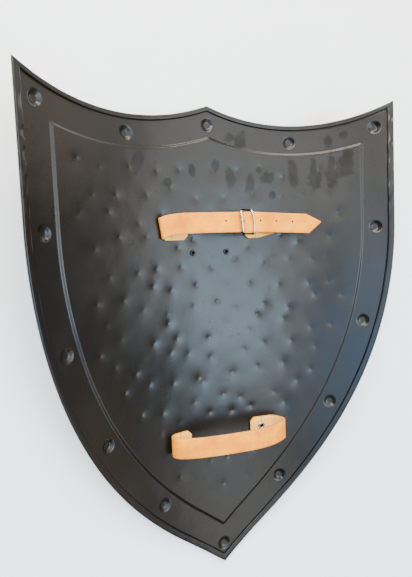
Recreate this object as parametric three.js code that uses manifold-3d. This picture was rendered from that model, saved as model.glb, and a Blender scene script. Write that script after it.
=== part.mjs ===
// Heater shield of pressed sheet steel, lying on its front with the straps up.
// Millimetres, +Z up. Y runs along the shield towards its top edge and X across it.
// The sheet is laid out flat first, as u across, v along from the tip and w above the
// border's back face, and is then bent about an axis that runs along Y.

import * as THREE from 'three';
import * as BufferGeometryUtils from 'three/addons/utils/BufferGeometryUtils.js';
import Module from 'manifold-3d';

const wasm = await Module();
wasm.setup();

// Sheet outline, laid out flat
const LENGTH = 610;
const SHEET_WIDTH = 503;
const SIDE_RADIUS = 525;
const TIP_STRAIGHT = 76;
const PEAK_DROP = 3;
const TOP_SAG = 23.5;
const BEND_RADIUS = 372;
const SHEET = 1.2;

// Hem, folded border and raised field
const HEM_WIDTH = 8;
const HEM_TOP_WIDTH = 5.5;
const HEM_THICKNESS = 1.5;
const BORDER_WIDTH = 41.5;
const BORDER_TOP_WIDTH = 37.5;
const FIELD_RISE = 2;
const STEP_WIDTH = 3.2;
const EDGE_STEP = 20;
const LEAST_AREA = 0.1;

// Bosses pressed out towards the front
const BOSS_INSET = 24.5;
const BOSS_TOP_INSET = 22.2;
const BOSS_TOP_U = 113.5;
const BOSS_TIP_V = 25.5;
const BOSS_FLAT_RADIUS = 4;
const BOSS_MOUTH_RADIUS = 8.8;
const BOSS_DEPTH = 3;
const BOSS_GAPS = [131, 129, 123, 126];

// Small dents over the field
const DENT_PITCH = 37;
const DENT_ROW = 29;
const DENT_JITTER = 9;
const DENT_RADIUS = 5.5;
const DENT_DEPTH = 1.3;
const FIELD_MARGIN = 14;
const FILL_PITCH = 24;
const FILL_CLEARANCE = 13;

// Leather straps
const LEATHER = 2.8;
const STRAP_WIDTH = 25.4;
const LEATHER_GAP = 0.5;
const GAP = 0.3;
const RIVET_SPAN = 120;
const ARM_V = 450.5;
const GRIP_V = 182;
const FLAP_CHAMFER = 5;
const TIP_TOP_LENGTH = 21;
const TIP_LOWER_LENGTH = 17.5;
const TIP_SHIFT = 3;
const TIP_HALF_WIDTH = 0.8;
const HOLE_RADIUS = 1.4;
const TONGUE_HOLE_RADIUS = 2.1;
const HOLE_PITCH = 25.4;
const HOLE_COUNT = 5;
const HOLE_SHIFT = 1.8;
const CHAPE_HALF_WIDTH = 12;

// Rivets
const SHANK_RADIUS = 2.3;
const SHANK_CLEARANCE = 0.6;
const OPEN_RADIUS = 2.6;
const RIVET_BORE = 1.5;
const CLINCH_RADIUS = 4.4;
const CLINCH_HEIGHT = 1.4;
const CLINCH_EDGE = 0.4;
const CLINCH_SHOULDER = 0.75;
const BORE_EASE = 0.3;
const HEAD_RADIUS = 5.6;
const HEAD_HEIGHT = 1.5;
const HEAD_RIM = 0.3;
const HEAD_DOME = [0.7, 0.75];
const SMALL_CLINCH_RADIUS = 4;
const SMALL_RIVET_V = 421.5;
const SMALL_RIVET_U = -5;
const SMALL_RIVET_SPAN = 48;

// Buckle of bent wire
const WIRE = 3.2;
const TONGUE_WIRE = 1.8;
const KEEPER_WIRE = 2;
const BUCKLE_WIDTH = 33.4;
const BUCKLE_SHIFT = 0.5;
const BUCKLE_GAP = 0.8;
const BAR_U = 30;
const HEEL_U = 51;
const HEEL_W = 23;
const BAR_W = 33;
const BUCKLE_CORNER = 2.6;
const TONGUE_HOOK = [-0.45 * Math.PI, -1.35 * Math.PI];
const TONGUE_OVER = [0.2 * Math.PI, 0.55 * Math.PI];
const TONGUE_BACK = 2.5;
const TONGUE_DEEP = 3;
const TONGUE_EASE = 0.2;
const TONGUE_RISE = 0.6;
const TONGUE_TIP = [4, 0.9];
const KEEPER_TOP_GAP = 0.7;
const KEEPER_FOOT_GAP = 1.3;
const KEEPER_BOW = 2.2;
const KEEPER_SINK = 0.5;
const KEEPER_SHIFT = 5.5;
const KEEPER_FOOT_SHIFT = 1.5;
const ARM_BOW = 7.5;
const ARM_BOW_RUN = 8.5;
const ARM_DROOP = 5;

const HALF = SHEET_WIDTH / 2;
const ARC_U = HALF - SIDE_RADIUS;
const ARC_V = Math.sqrt(SIDE_RADIUS ** 2 + TIP_STRAIGHT ** 2 - ARC_U ** 2);
const TIP_LEAN = Math.atan2(ARC_V, ARC_U) - Math.atan2(SIDE_RADIUS, TIP_STRAIGHT);
const SEAT = FIELD_RISE + LEATHER_GAP + LEATHER / 2;

const STEEL = new THREE.MeshStandardMaterial({ color: 0x2b2826, roughness: 0.38, metalness: 0.2 });
const TAN = new THREE.MeshStandardMaterial({ color: 0xe3b183, roughness: 0.6, metalness: 0 });
const NICKEL = new THREE.MeshStandardMaterial({ color: 0xd8d4cc, roughness: 0.2, metalness: 1 });

// Bends a flat point round the shield's long axis.
function bend(u, v, w) {
  const turn = u / BEND_RADIUS;
  const reach = BEND_RADIUS - w;
  return new THREE.Vector3(reach * Math.sin(turn), v, BEND_RADIUS - reach * Math.cos(turn));
}

// The top edge is one hollow arc on each side of the central peak.
function topArc() {
  const peak = new THREE.Vector2(0, LENGTH - PEAK_DROP);
  const corner = new THREE.Vector2(HALF, LENGTH);
  const chord = corner.distanceTo(peak);
  const radius = (chord ** 2 / 4 + TOP_SAG ** 2) / (2 * TOP_SAG);
  const along = corner.clone().sub(peak).divideScalar(chord);
  const up = new THREE.Vector2(-along.y, along.x);
  const middle = peak.clone().add(corner).multiplyScalar(0.5);
  return { centre: middle.addScaledVector(up, radius - TOP_SAG), radius };
}

const TOP = topArc();

function topV(u, distance) {
  return TOP.centre.y - Math.sqrt((TOP.radius + distance) ** 2 - (u - TOP.centre.x) ** 2);
}

// How far a flat point lies inside the side: a straight, an arc and a straight to the tip.
function sideInset(u, v) {
  if (v > ARC_V) {
    return HALF - Math.abs(u);
  }
  const along = Math.abs(u) * Math.cos(TIP_LEAN) + v * Math.sin(TIP_LEAN);
  return along < TIP_STRAIGHT
    ? v * Math.cos(TIP_LEAN) - Math.abs(u) * Math.sin(TIP_LEAN)
    : SIDE_RADIUS - Math.hypot(Math.abs(u) - ARC_U, v - ARC_V);
}

function inset(u, v) {
  const top = Math.hypot(Math.abs(u) - TOP.centre.x, v - TOP.centre.y) - TOP.radius;
  return Math.min(sideInset(u, v), top);
}

// Right half of the outline moved inwards, from the tip up to the peak.
function halfLoop(distance, topDistance) {
  const radius = SIDE_RADIUS - distance;
  const sideU = HALF - distance;
  const straightSteps = Math.ceil(TIP_STRAIGHT / EDGE_STEP);
  const arcTurn = Math.PI / 2 - TIP_LEAN;
  const arcSteps = Math.ceil((SIDE_RADIUS * arcTurn) / EDGE_STEP);
  const sideSteps = Math.ceil((LENGTH - ARC_V) / EDGE_STEP);
  const topSteps = Math.ceil(HALF / EDGE_STEP);
  const arcPoint = (turn) => [ARC_U + radius * Math.cos(turn), ARC_V - radius * Math.sin(turn)];
  const lowest = [0, distance / Math.cos(TIP_LEAN)];
  const joint = arcPoint(arcTurn);
  const points = [];
  for (let i = 0; i < straightSteps; i++) {
    const share = i / straightSteps;
    points.push([joint[0] * share, lowest[1] + (joint[1] - lowest[1]) * share]);
  }
  for (let i = 0; i < arcSteps; i++) {
    points.push(arcPoint(arcTurn * (1 - i / arcSteps)));
  }
  const cornerV = topV(sideU, topDistance);
  for (let i = 0; i < sideSteps; i++) {
    points.push([sideU, ARC_V + ((cornerV - ARC_V) * i) / sideSteps]);
  }
  for (let i = 0; i <= topSteps; i++) {
    const u = sideU * (1 - i / topSteps);
    points.push([u, topV(u, topDistance)]);
  }
  return points;
}

function loop(distance, topDistance) {
  const right = halfLoop(distance, topDistance);
  const left = right.slice(1, -1).reverse().map(([u, v]) => [-u, v]);
  return [...right, ...left];
}

// Boss centres: the peak, the tip, the corners, the top arcs and, a gap at a time, the sides.
function bossCentres() {
  const radius = SIDE_RADIUS - BOSS_INSET;
  const sideU = HALF - BOSS_INSET;
  const cornerV = topV(sideU, BOSS_TOP_INSET);
  const right = [[sideU, cornerV], [BOSS_TOP_U, topV(BOSS_TOP_U, BOSS_TOP_INSET)]];
  let along = 0;
  for (const gap of BOSS_GAPS) {
    along += gap;
    const turn = (along - (cornerV - ARC_V)) / radius;
    right.push(turn > 0
      ? [ARC_U + radius * Math.cos(turn), ARC_V - radius * Math.sin(turn)]
      : [sideU, cornerV - along]);
  }
  const middle = [[0, topV(0, BOSS_TOP_INSET)], [0, BOSS_TIP_V]];
  return [...middle, ...right, ...right.map(([u, v]) => [-u, v])];
}

const BOSSES = bossCentres();
const STRAP_RIVETS = [
  ['rivet_arm_left', -RIVET_SPAN / 2, ARM_V],
  ['rivet_arm_right', RIVET_SPAN / 2, ARM_V],
  ['rivet_grip_left', -RIVET_SPAN / 2, GRIP_V],
  ['rivet_grip_right', RIVET_SPAN / 2, GRIP_V],
];
const SMALL_RIVETS = [
  ['rivet_small_left', SMALL_RIVET_U - SMALL_RIVET_SPAN / 2, SMALL_RIVET_V],
  ['rivet_small_right', SMALL_RIVET_U + SMALL_RIVET_SPAN / 2, SMALL_RIVET_V],
];
const RIVETS = [...STRAP_RIVETS, ...SMALL_RIVETS];

// A repeatable scatter between -1 and 1 for the hand-punched look.
function scatter(i, j, seed) {
  const value = Math.sin(i * 127.1 + j * 311.7 + seed * 74.7) * 43758.5453;
  return 2 * (value - Math.floor(value)) - 1;
}

// Dent centres: staggered rows inside the field, clear of the rivets.
function dentCentres() {
  const limit = BORDER_WIDTH + STEP_WIDTH / 2 + FIELD_MARGIN;
  const dents = [];
  const rows = Math.floor(LENGTH / DENT_ROW);
  const columns = Math.ceil(HALF / DENT_PITCH);
  for (let row = 1; row <= rows; row++) {
    for (let column = -columns; column <= columns; column++) {
      const shift = (row % 2) * 0.5;
      const u = (column + shift) * DENT_PITCH + DENT_JITTER * scatter(row, column, 1);
      const v = row * DENT_ROW + DENT_JITTER * scatter(row, column, 2);
      const free = RIVETS.every(([, ru, rv]) => Math.hypot(u - ru, v - rv) > FIELD_MARGIN);
      if (free && inset(u, v) > limit) {
        dents.push([u, v]);
      }
    }
  }
  return dents;
}

const DENTS = dentCentres();

function ring(centre, radius, count) {
  return Array.from({ length: count }, (_, i) => {
    const turn = (2 * Math.PI * (i + 0.5)) / count;
    return [centre[0] + radius * Math.cos(turn), centre[1] + radius * Math.sin(turn)];
  });
}

// Every flat point of the sheet with its height on the back.
function sheetPoints() {
  const points = [];
  const add = (list, height) => list.forEach(([u, v]) => points.push({ u, v, w: height(u, v) }));
  const step = STEP_WIDTH / 2;
  add(loop(0, 0), () => HEM_THICKNESS);
  add(loop(HEM_WIDTH, HEM_TOP_WIDTH), () => HEM_THICKNESS);
  add(loop(HEM_WIDTH + GAP, HEM_TOP_WIDTH + GAP), () => 0);
  add(loop(BORDER_WIDTH - step, BORDER_TOP_WIDTH - step), () => 0);
  add(loop(BORDER_WIDTH + step, BORDER_TOP_WIDTH + step), () => FIELD_RISE);
  BOSSES.forEach((centre) => {
    const floor = BEND_RADIUS + BOSS_DEPTH;
    const flat = (u) => BEND_RADIUS - floor / Math.cos((u - centre[0]) / BEND_RADIUS);
    add(ring(centre, BOSS_FLAT_RADIUS, 8), flat);
    add(ring(centre, BOSS_MOUTH_RADIUS, 10), () => 0);
  });
  DENTS.forEach((centre) => {
    add([centre], () => FIELD_RISE - DENT_DEPTH);
    add(ring(centre, DENT_RADIUS, 5), () => FIELD_RISE);
  });
  RIVETS.forEach(([, u, v]) => add(ring([u, v], SHANK_RADIUS + SHANK_CLEARANCE, 8), () => FIELD_RISE));
  const limit = BORDER_WIDTH + step + FIELD_MARGIN / 2;
  const near = (u, v) => points.some((p) => Math.hypot(p.u - u, p.v - v) < FILL_CLEARANCE);
  for (let v = FILL_PITCH; v < LENGTH; v += FILL_PITCH) {
    for (let u = -HALF + FILL_PITCH / 3; u < HALF; u += FILL_PITCH) {
      if (inset(u, v) > limit && !near(u, v)) {
        points.push({ u, v, w: FIELD_RISE });
      }
    }
  }
  return points;
}

// Delaunay triangles of flat points, added one at a time.
function triangulate(points) {
  const nudge = 0.002;
  const far = 10 * LENGTH;
  const p = points.map(({ u, v }, i) => [
    u + nudge * scatter(i, 1, 3), v + nudge * scatter(i, 2, 3)]);
  const count = p.length;
  p.push([-far, -far], [far, -far], [0, far]);
  const circle = (a, b, c) => {
    const [ax, ay] = p[a];
    const bx = p[b][0] - ax;
    const by = p[b][1] - ay;
    const cx = p[c][0] - ax;
    const cy = p[c][1] - ay;
    const d = 2 * (bx * cy - by * cx);
    const x = (cy * (bx * bx + by * by) - by * (cx * cx + cy * cy)) / d;
    const y = (bx * (cx * cx + cy * cy) - cx * (bx * bx + by * by)) / d;
    return { a, b, c, x: ax + x, y: ay + y, r: x * x + y * y };
  };
  let triangles = [circle(count, count + 1, count + 2)];
  for (let i = 0; i < count; i++) {
    const edges = new Map();
    const kept = [];
    for (const t of triangles) {
      if ((p[i][0] - t.x) ** 2 + (p[i][1] - t.y) ** 2 >= t.r) {
        kept.push(t);
        continue;
      }
      for (const [m, n] of [[t.a, t.b], [t.b, t.c], [t.c, t.a]]) {
        const back = `${n}_${m}`;
        if (!edges.delete(back)) {
          edges.set(`${m}_${n}`, [m, n]);
        }
      }
    }
    edges.forEach(([m, n]) => kept.push(circle(m, n, i)));
    triangles = kept;
  }
  return triangles.filter((t) => Math.max(t.a, t.b, t.c) < count);
}

// Turns a list of corners and faces into a closed mesh whose faces point out.
function closedGeometry(corners, faces) {
  let volume = 0;
  for (const [a, b, c] of faces) {
    volume += corners[a].dot(new THREE.Vector3().crossVectors(corners[b], corners[c]));
  }
  const outward = volume < 0 ? faces.map(([a, b, c]) => [a, c, b]) : faces;
  const geometry = new THREE.BufferGeometry();
  const flat = corners.flatMap((corner) => corner.toArray());
  geometry.setAttribute('position', new THREE.Float32BufferAttribute(flat, 3));
  geometry.setIndex(outward.flat());
  return geometry;
}

// The steel sheet: the flat triangles on both faces, and a wall along every free edge.
function plateGeometry() {
  const points = sheetPoints();
  const size = points.length;
  const inside = ({ a, b, c }) => {
    const u = (points[a].u + points[b].u + points[c].u) / 3;
    const v = (points[a].v + points[b].v + points[c].v) / 3;
    const area = (points[b].u - points[a].u) * (points[c].v - points[a].v)
      - (points[b].v - points[a].v) * (points[c].u - points[a].u);
    const solid = RIVETS.every(([, ru, rv]) => Math.hypot(u - ru, v - rv) > OPEN_RADIUS);
    return inset(u, v) > 0 && Math.abs(area) > LEAST_AREA && solid;
  };
  const triangles = triangulate(points).filter(inside);
  const edges = new Map();
  const faces = [];
  for (const { a, b, c } of triangles) {
    faces.push([a, b, c], [a + size, c + size, b + size]);
    for (const [m, n] of [[a, b], [b, c], [c, a]]) {
      if (!edges.delete(`${n}_${m}`)) {
        edges.set(`${m}_${n}`, [m, n]);
      }
    }
  }
  edges.forEach(([m, n]) => faces.push([n, m, m + size], [n, m + size, n + size]));
  const front = (p) => (p.w === HEM_THICKNESS ? 0 : p.w) - SHEET;
  const corners = [
    ...points.map((p) => bend(p.u, p.v, p.w)),
    ...points.map((p) => bend(p.u, p.v, front(p))),
  ];
  return BufferGeometryUtils.mergeVertices(closedGeometry(corners, faces));
}

function toSolid(geometry) {
  const plain = geometry.clone();
  plain.deleteAttribute('normal');
  plain.deleteAttribute('uv');
  const merged = BufferGeometryUtils.mergeVertices(plain, 1e-4);
  return new wasm.Manifold(new wasm.Mesh({
    numProp: 3,
    vertProperties: new Float32Array(merged.attributes.position.array),
    triVerts: new Uint32Array(merged.index.array),
  }));
}

function fromSolid(solid) {
  const mesh = solid.getMesh();
  const geometry = new THREE.BufferGeometry();
  geometry.setAttribute('position', new THREE.BufferAttribute(mesh.vertProperties, 3));
  geometry.setIndex(new THREE.BufferAttribute(mesh.triVerts, 1));
  return geometry;
}

function cut(geometry, tools) {
  return fromSolid(tools.reduce((solid, tool) => solid.subtract(toSolid(tool)), toSolid(geometry)));
}

// A round punch through a strap at a flat place, square to the strap.
function punch(u, v, w, radius, depth, lean) {
  const tool = new THREE.CylinderGeometry(radius, radius, depth, 10);
  tool.rotateX(Math.PI / 2);
  tool.rotateY(-u / BEND_RADIUS - lean);
  const centre = bend(u, v, w);
  return tool.translate(centre.x, centre.y, centre.z);
}

// A strap swept along stations [u, w], with its middle line and half width given by functions.
function strapGeometry(stations, middle, halfWidth) {
  const corners = [];
  const faces = [];
  const last = stations.length - 1;
  stations.forEach(([u, w], i) => {
    const [u0, w0] = stations[Math.max(i - 1, 0)];
    const [u1, w1] = stations[Math.min(i + 1, last)];
    const long = Math.hypot(u1 - u0, w1 - w0);
    const nu = (-(w1 - w0) / long) * (LEATHER / 2);
    const nw = ((u1 - u0) / long) * (LEATHER / 2);
    const v = middle(u, i);
    const half = halfWidth(u, i);
    for (const [side, face] of [[-1, -1], [1, -1], [1, 1], [-1, 1]]) {
      corners.push(bend(u + face * nu, v + side * half, w + face * nw));
    }
    if (i > 0) {
      for (let k = 0; k < 4; k++) {
        const a = 4 * (i - 1) + k;
        const b = 4 * (i - 1) + ((k + 1) % 4);
        faces.push([a, b, b + 4], [a, b + 4, a + 4]);
      }
    }
  });
  const end = 4 * last;
  faces.push([0, 2, 1], [0, 3, 2], [end, end + 1, end + 2], [end, end + 2, end + 3]);
  return closedGeometry(corners, faces);
}

// Points round part of a circle in the u and w plane.
function turnPoints(u, w, radius, from, to, count) {
  return Array.from({ length: count + 1 }, (_, i) => {
    const turn = from + ((to - from) * i) / count;
    return [u + radius * Math.cos(turn), w + radius * Math.sin(turn)];
  });
}

function smoothPoints(knots, count) {
  const curve = new THREE.CatmullRomCurve3(knots.map(([u, w]) => new THREE.Vector3(u, w, 0)));
  return curve.getSpacedPoints(count).map((point) => [point.x, point.y]);
}

// Half width of a flap that is chamfered over its last few millimetres.
function flapHalf(u, end, direction) {
  const into = Math.min(Math.abs(u - end), FLAP_CHAMFER);
  return (u - end) * direction >= 0 ? STRAP_WIDTH / 2 - FLAP_CHAMFER + into : STRAP_WIDTH / 2;
}

// Arm strap, billet side: folded under at the left, it rises to the buckle and ends in a point.
const FOLD_RADIUS = LEATHER / 2 + LEATHER_GAP;
const FOLD_REACH = 11.5;
const FLAP_REACH = 23;
const FOLD_TURNS = 0.88;
const FOLD_U = RIVET_SPAN / 2 + FOLD_REACH;
const FLAP_INNER_U = RIVET_SPAN / 2 - FLAP_REACH;
const BILLET_W = BAR_W - WIRE / 2 - BUCKLE_GAP - LEATHER / 2;
const TIP_U = 152;
const TIP_W = 8;
const TONGUE_HOLE_U = BAR_U + WIRE / 2 + BUCKLE_GAP + TONGUE_WIRE / 2;

// Front layer of the billet, as a distance along u and a height for each place that it passes
const FOLD_EXIT = [3, 1.2];
const SHOULDER = [2, 10.5];
const ARCH = [14, 15.5];
const CROWN = [-8, 3];
const OVER_HEEL = [1, 0.6];
const SAG = [41, 9];

// Middle line of the arm strap: it leaves the fold at a slant and sinks towards its point.
function armMiddle(u) {
  const start = Math.max(u + FOLD_U + FOLD_RADIUS + LEATHER, 0);
  const sink = Math.max(u, 0) / TIP_U;
  return ARM_V + ARM_BOW * (1 - Math.exp(-start / ARM_BOW_RUN)) - ARM_DROOP * sink ** 2;
}

// Upper and lower edge of the billet, with the point off centre.
function billetEdges(u) {
  const full = STRAP_WIDTH / 2;
  const past = (length) => Math.min(Math.max((u - TIP_U + length) / length, 0), 1);
  const top = full + (TIP_SHIFT + TIP_HALF_WIDTH - full) * past(TIP_TOP_LENGTH);
  const lower = full + (TIP_HALF_WIDTH - TIP_SHIFT - full) * past(TIP_LOWER_LENGTH);
  return { middle: armMiddle(u) + (top - lower) / 2, half: (top + lower) / 2 };
}

function billetGeometry() {
  const flap = [[-FLAP_INNER_U, SEAT], [-FLAP_INNER_U - FLAP_CHAMFER, SEAT],
    [-RIVET_SPAN / 2, SEAT], [-FOLD_U + FLAP_CHAMFER, SEAT]];
  const fold = turnPoints(-FOLD_U, SEAT + FOLD_RADIUS, FOLD_RADIUS,
    -Math.PI / 2, (-0.5 - FOLD_TURNS) * Math.PI, 5);
  const rise = smoothPoints([
    [-FOLD_U + FOLD_EXIT[0], SEAT + 2 * FOLD_RADIUS + FOLD_EXIT[1]],
    [-RIVET_SPAN / 2 + SHOULDER[0], SEAT + SHOULDER[1]],
    [-RIVET_SPAN / 2 + ARCH[0], SEAT + ARCH[1]],
    [CROWN[0], BILLET_W - CROWN[1]],
    [BAR_U, BILLET_W],
    [HEEL_U + OVER_HEEL[0], BILLET_W + OVER_HEEL[1]],
    [HEEL_U + SAG[0], BILLET_W - SAG[1]],
    [TIP_U, TIP_W],
  ], 36);
  const under = flap.length + fold.length;
  const stations = [...flap, ...fold, ...rise];
  const shifted = (i) => Math.min(Math.max((i - flap.length + 1) / fold.length, 0), 1);
  const middle = (u, i) => (i < under
    ? ARM_V + (armMiddle(u) - ARM_V) * shifted(i) : billetEdges(u).middle);
  const half = (u, i) => (i < under
    ? flapHalf(u, -FLAP_INNER_U - FLAP_CHAMFER, 1) : billetEdges(u).half);
  return { geometry: strapGeometry(stations, middle, half), rise };
}

// Where the billet's front layer is at a distance along u.
function heightAt(rise, u) {
  const i = Math.max(1, rise.findIndex(([pointU]) => pointU > u));
  const [u0, w0] = rise[i - 1];
  const [u1, w1] = rise[i];
  return { w: w0 + ((w1 - w0) * (u - u0)) / (u1 - u0), lean: Math.atan2(w1 - w0, u1 - u0) };
}

function punchedBillet() {
  const { geometry, rise } = billetGeometry();
  const tools = [];
  for (let i = 0; i < HOLE_COUNT; i++) {
    const u = TONGUE_HOLE_U + (i - 1) * HOLE_PITCH;
    const { w, lean } = heightAt(rise, u);
    const radius = i === 1 ? TONGUE_HOLE_RADIUS : HOLE_RADIUS;
    tools.push(punch(u, armMiddle(u) + HOLE_SHIFT, w, radius, 3 * LEATHER, i === 1 ? 0 : lean));
  }
  const depth = LEATHER + 2 * LEATHER_GAP;
  tools.push(punch(-RIVET_SPAN / 2, ARM_V, SEAT, SHANK_RADIUS + SHANK_CLEARANCE, depth, 0));
  return cut(geometry, tools);
}

// Arm strap, buckle side: riveted flat, folded back to the left and wrapped round the heel bar.
const CHAPE_REACH = 24;
const CHAPE_SHORTER = 8;
const CHAPE_STATION = 8;
const CHAPE_SLANT = 4;
const CHAPE_END_U = RIVET_SPAN / 2 + CHAPE_REACH;
const CHAPE_INNER_U = FLAP_INNER_U + CHAPE_SHORTER;
const CHAPE_RADIUS = 6;
const WRAP_END = 1.45 * Math.PI;
const BUCKLE_V = armMiddle(HEEL_U) + BUCKLE_SHIFT;
const TONGUE_V = armMiddle(TONGUE_HOLE_U) + HOLE_SHIFT;

function chapeGeometry() {
  const wrap = WIRE / 2 + LEATHER_GAP + LEATHER / 2;
  const run = CHAPE_END_U - CHAPE_RADIUS - HEEL_U;
  const climb = Math.atan2(HEEL_W + wrap - SEAT - 2 * CHAPE_RADIUS, run);
  const flap = [
    [CHAPE_INNER_U, SEAT], [CHAPE_INNER_U + FLAP_CHAMFER, SEAT],
    [RIVET_SPAN / 2, SEAT], [RIVET_SPAN / 2 + CHAPE_STATION, SEAT],
    [CHAPE_END_U - CHAPE_RADIUS, SEAT],
  ];
  const fold = turnPoints(CHAPE_END_U - CHAPE_RADIUS, SEAT + CHAPE_RADIUS, CHAPE_RADIUS,
    -Math.PI / 3, Math.PI / 2 - climb, 5);
  const over = turnPoints(HEEL_U, HEEL_W, wrap, Math.PI / 2 - climb, WRAP_END, 8);
  const under = flap.length + 2;
  const slant = (u) => CHAPE_SLANT * Math.max(0, (u - RIVET_SPAN / 2) / CHAPE_REACH);
  const back = (u) => Math.min(1, (CHAPE_END_U - u) / (CHAPE_END_U - HEEL_U));
  const lift = (u) => slant(u) + (BUCKLE_V - ARM_V - slant(u)) * back(u);
  const middle = (u, i) => ARM_V + (i < under ? slant(u) : lift(u));
  const half = (u, i) => (i < under
    ? flapHalf(u, CHAPE_INNER_U + FLAP_CHAMFER, -1) : CHAPE_HALF_WIDTH);
  const geometry = strapGeometry([...flap, ...fold, ...over], middle, half);
  const slotWidth = 2 * TONGUE_WIRE;
  const slot = new THREE.BoxGeometry(4 * wrap, slotWidth, 4 * wrap);
  const centre = bend(HEEL_U - wrap, TONGUE_V, HEEL_W);
  slot.translate(centre.x, centre.y, centre.z);
  const depth = LEATHER + 2 * LEATHER_GAP;
  const hole = punch(RIVET_SPAN / 2, ARM_V, SEAT, SHANK_RADIUS + SHANK_CLEARANCE, depth, 0);
  return cut(geometry, [slot, hole]);
}

// Grip: one band that bulges out past both rivets, more at the right than at the left.
const GRIP_CROWN = 47.2;
const GRIP_LEFT_REACH = 15.5;
const GRIP_RIGHT_REACH = 26.5;
const GRIP_SHORTER = 7;
const GRIP_FOOT = 9.5;
const GRIP_LEFT_U = RIVET_SPAN / 2 + GRIP_LEFT_REACH;
const GRIP_RIGHT_U = RIVET_SPAN / 2 + GRIP_RIGHT_REACH;
const GRIP_INNER_U = FLAP_INNER_U + GRIP_SHORTER;

// Distance along u and share of the crown's height for each place that the band passes
const LEFT_LIFT = [3, 0.125];
const LEFT_LOW = 0.27;
const LEFT_HIGH = [6, 0.49];
const LEFT_SHOULDER = [14, 0.745];
const LEFT_TOP = [-8, 0.945];
const RIGHT_TOP_U = 34;
const RIGHT_SHOULDER = [3, 0.875];
const RIGHT_HIGH = [1.5, 0.57];
const RIGHT_LOW = 0.37;
const RIGHT_LIFT = 0.03;
const RIGHT_STATION = 8;

function gripGeometry() {
  const leftFlap = [[-GRIP_INNER_U, SEAT], [-GRIP_INNER_U - FLAP_CHAMFER, SEAT],
    [-RIVET_SPAN / 2, SEAT]];
  const crown = smoothPoints([
    [-GRIP_LEFT_U + GRIP_FOOT, SEAT],
    [-GRIP_LEFT_U + LEFT_LIFT[0], GRIP_CROWN * LEFT_LIFT[1]],
    [-GRIP_LEFT_U, GRIP_CROWN * LEFT_LOW],
    [-GRIP_LEFT_U + LEFT_HIGH[0], GRIP_CROWN * LEFT_HIGH[1]],
    [-RIVET_SPAN / 2 + LEFT_SHOULDER[0], GRIP_CROWN * LEFT_SHOULDER[1]],
    [LEFT_TOP[0], GRIP_CROWN * LEFT_TOP[1]],
    [RIGHT_TOP_U, GRIP_CROWN],
    [RIVET_SPAN / 2 + RIGHT_SHOULDER[0], GRIP_CROWN * RIGHT_SHOULDER[1]],
    [GRIP_RIGHT_U - RIGHT_HIGH[0], GRIP_CROWN * RIGHT_HIGH[1]],
    [GRIP_RIGHT_U, GRIP_CROWN * RIGHT_LOW],
    [GRIP_RIGHT_U - GRIP_FOOT, SEAT + GRIP_CROWN * RIGHT_LIFT],
    [RIVET_SPAN / 2 + RIGHT_STATION, SEAT],
  ], 46);
  const rightFlap = [[GRIP_INNER_U + FLAP_CHAMFER, SEAT], [GRIP_INNER_U, SEAT]];
  const band = leftFlap.length + crown.length;
  const half = (u, i) => {
    if (i < leftFlap.length) {
      return flapHalf(u, -GRIP_INNER_U - FLAP_CHAMFER, 1);
    }
    return i < band ? STRAP_WIDTH / 2 : flapHalf(u, GRIP_INNER_U + FLAP_CHAMFER, -1);
  };
  const stations = [...leftFlap, ...crown, ...rightFlap];
  const depth = LEATHER + 2 * LEATHER_GAP;
  const holes = [-1, 1].map((side) => (
    punch((side * RIVET_SPAN) / 2, GRIP_V, SEAT, SHANK_RADIUS + SHANK_CLEARANCE, depth, 0)));
  return cut(strapGeometry(stations, () => GRIP_V, half), holes);
}

// A round wire swept along points, open with flat ends or closed into a loop.
function wireGeometry(points, diameter, closed) {
  const sides = 8;
  const count = points.length;
  const frames = points.map((point, i) => {
    const before = points[closed ? (i + count - 1) % count : Math.max(i - 1, 0)];
    const after = points[closed ? (i + 1) % count : Math.min(i + 1, count - 1)];
    return after.clone().sub(before).normalize();
  });
  const corners = [];
  const faces = [];
  let side = new THREE.Vector3(0.3, 0.2, 1).cross(frames[0]).normalize();
  points.forEach((point, i) => {
    side = side.clone().addScaledVector(frames[i], -side.dot(frames[i])).normalize();
    const other = new THREE.Vector3().crossVectors(frames[i], side);
    for (let k = 0; k < sides; k++) {
      const turn = (2 * Math.PI * k) / sides;
      corners.push(point.clone()
        .addScaledVector(side, (diameter / 2) * Math.cos(turn))
        .addScaledVector(other, (diameter / 2) * Math.sin(turn)));
    }
  });
  const rings = closed ? count : count - 1;
  for (let i = 0; i < rings; i++) {
    const next = ((i + 1) % count) * sides;
    const shift = closed && i === count - 1 ? seamShift(corners, i * sides, sides) : 0;
    for (let k = 0; k < sides; k++) {
      const a = i * sides + k;
      const b = i * sides + ((k + 1) % sides);
      const c = next + ((k + shift) % sides);
      const d = next + ((k + 1 + shift) % sides);
      faces.push([a, b, d], [a, d, c]);
    }
  }
  if (!closed) {
    const end = (count - 1) * sides;
    for (let k = 1; k < sides - 1; k++) {
      faces.push([0, k + 1, k], [end, end + k, end + k + 1]);
    }
  }
  return closedGeometry(corners, faces);
}

// Which corner of a loop's first ring lies nearest the first corner of its last ring.
function seamShift(corners, start, sides) {
  const gaps = Array.from({ length: sides }, (_, k) => corners[k].distanceTo(corners[start]));
  return gaps.indexOf(Math.min(...gaps));
}

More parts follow.
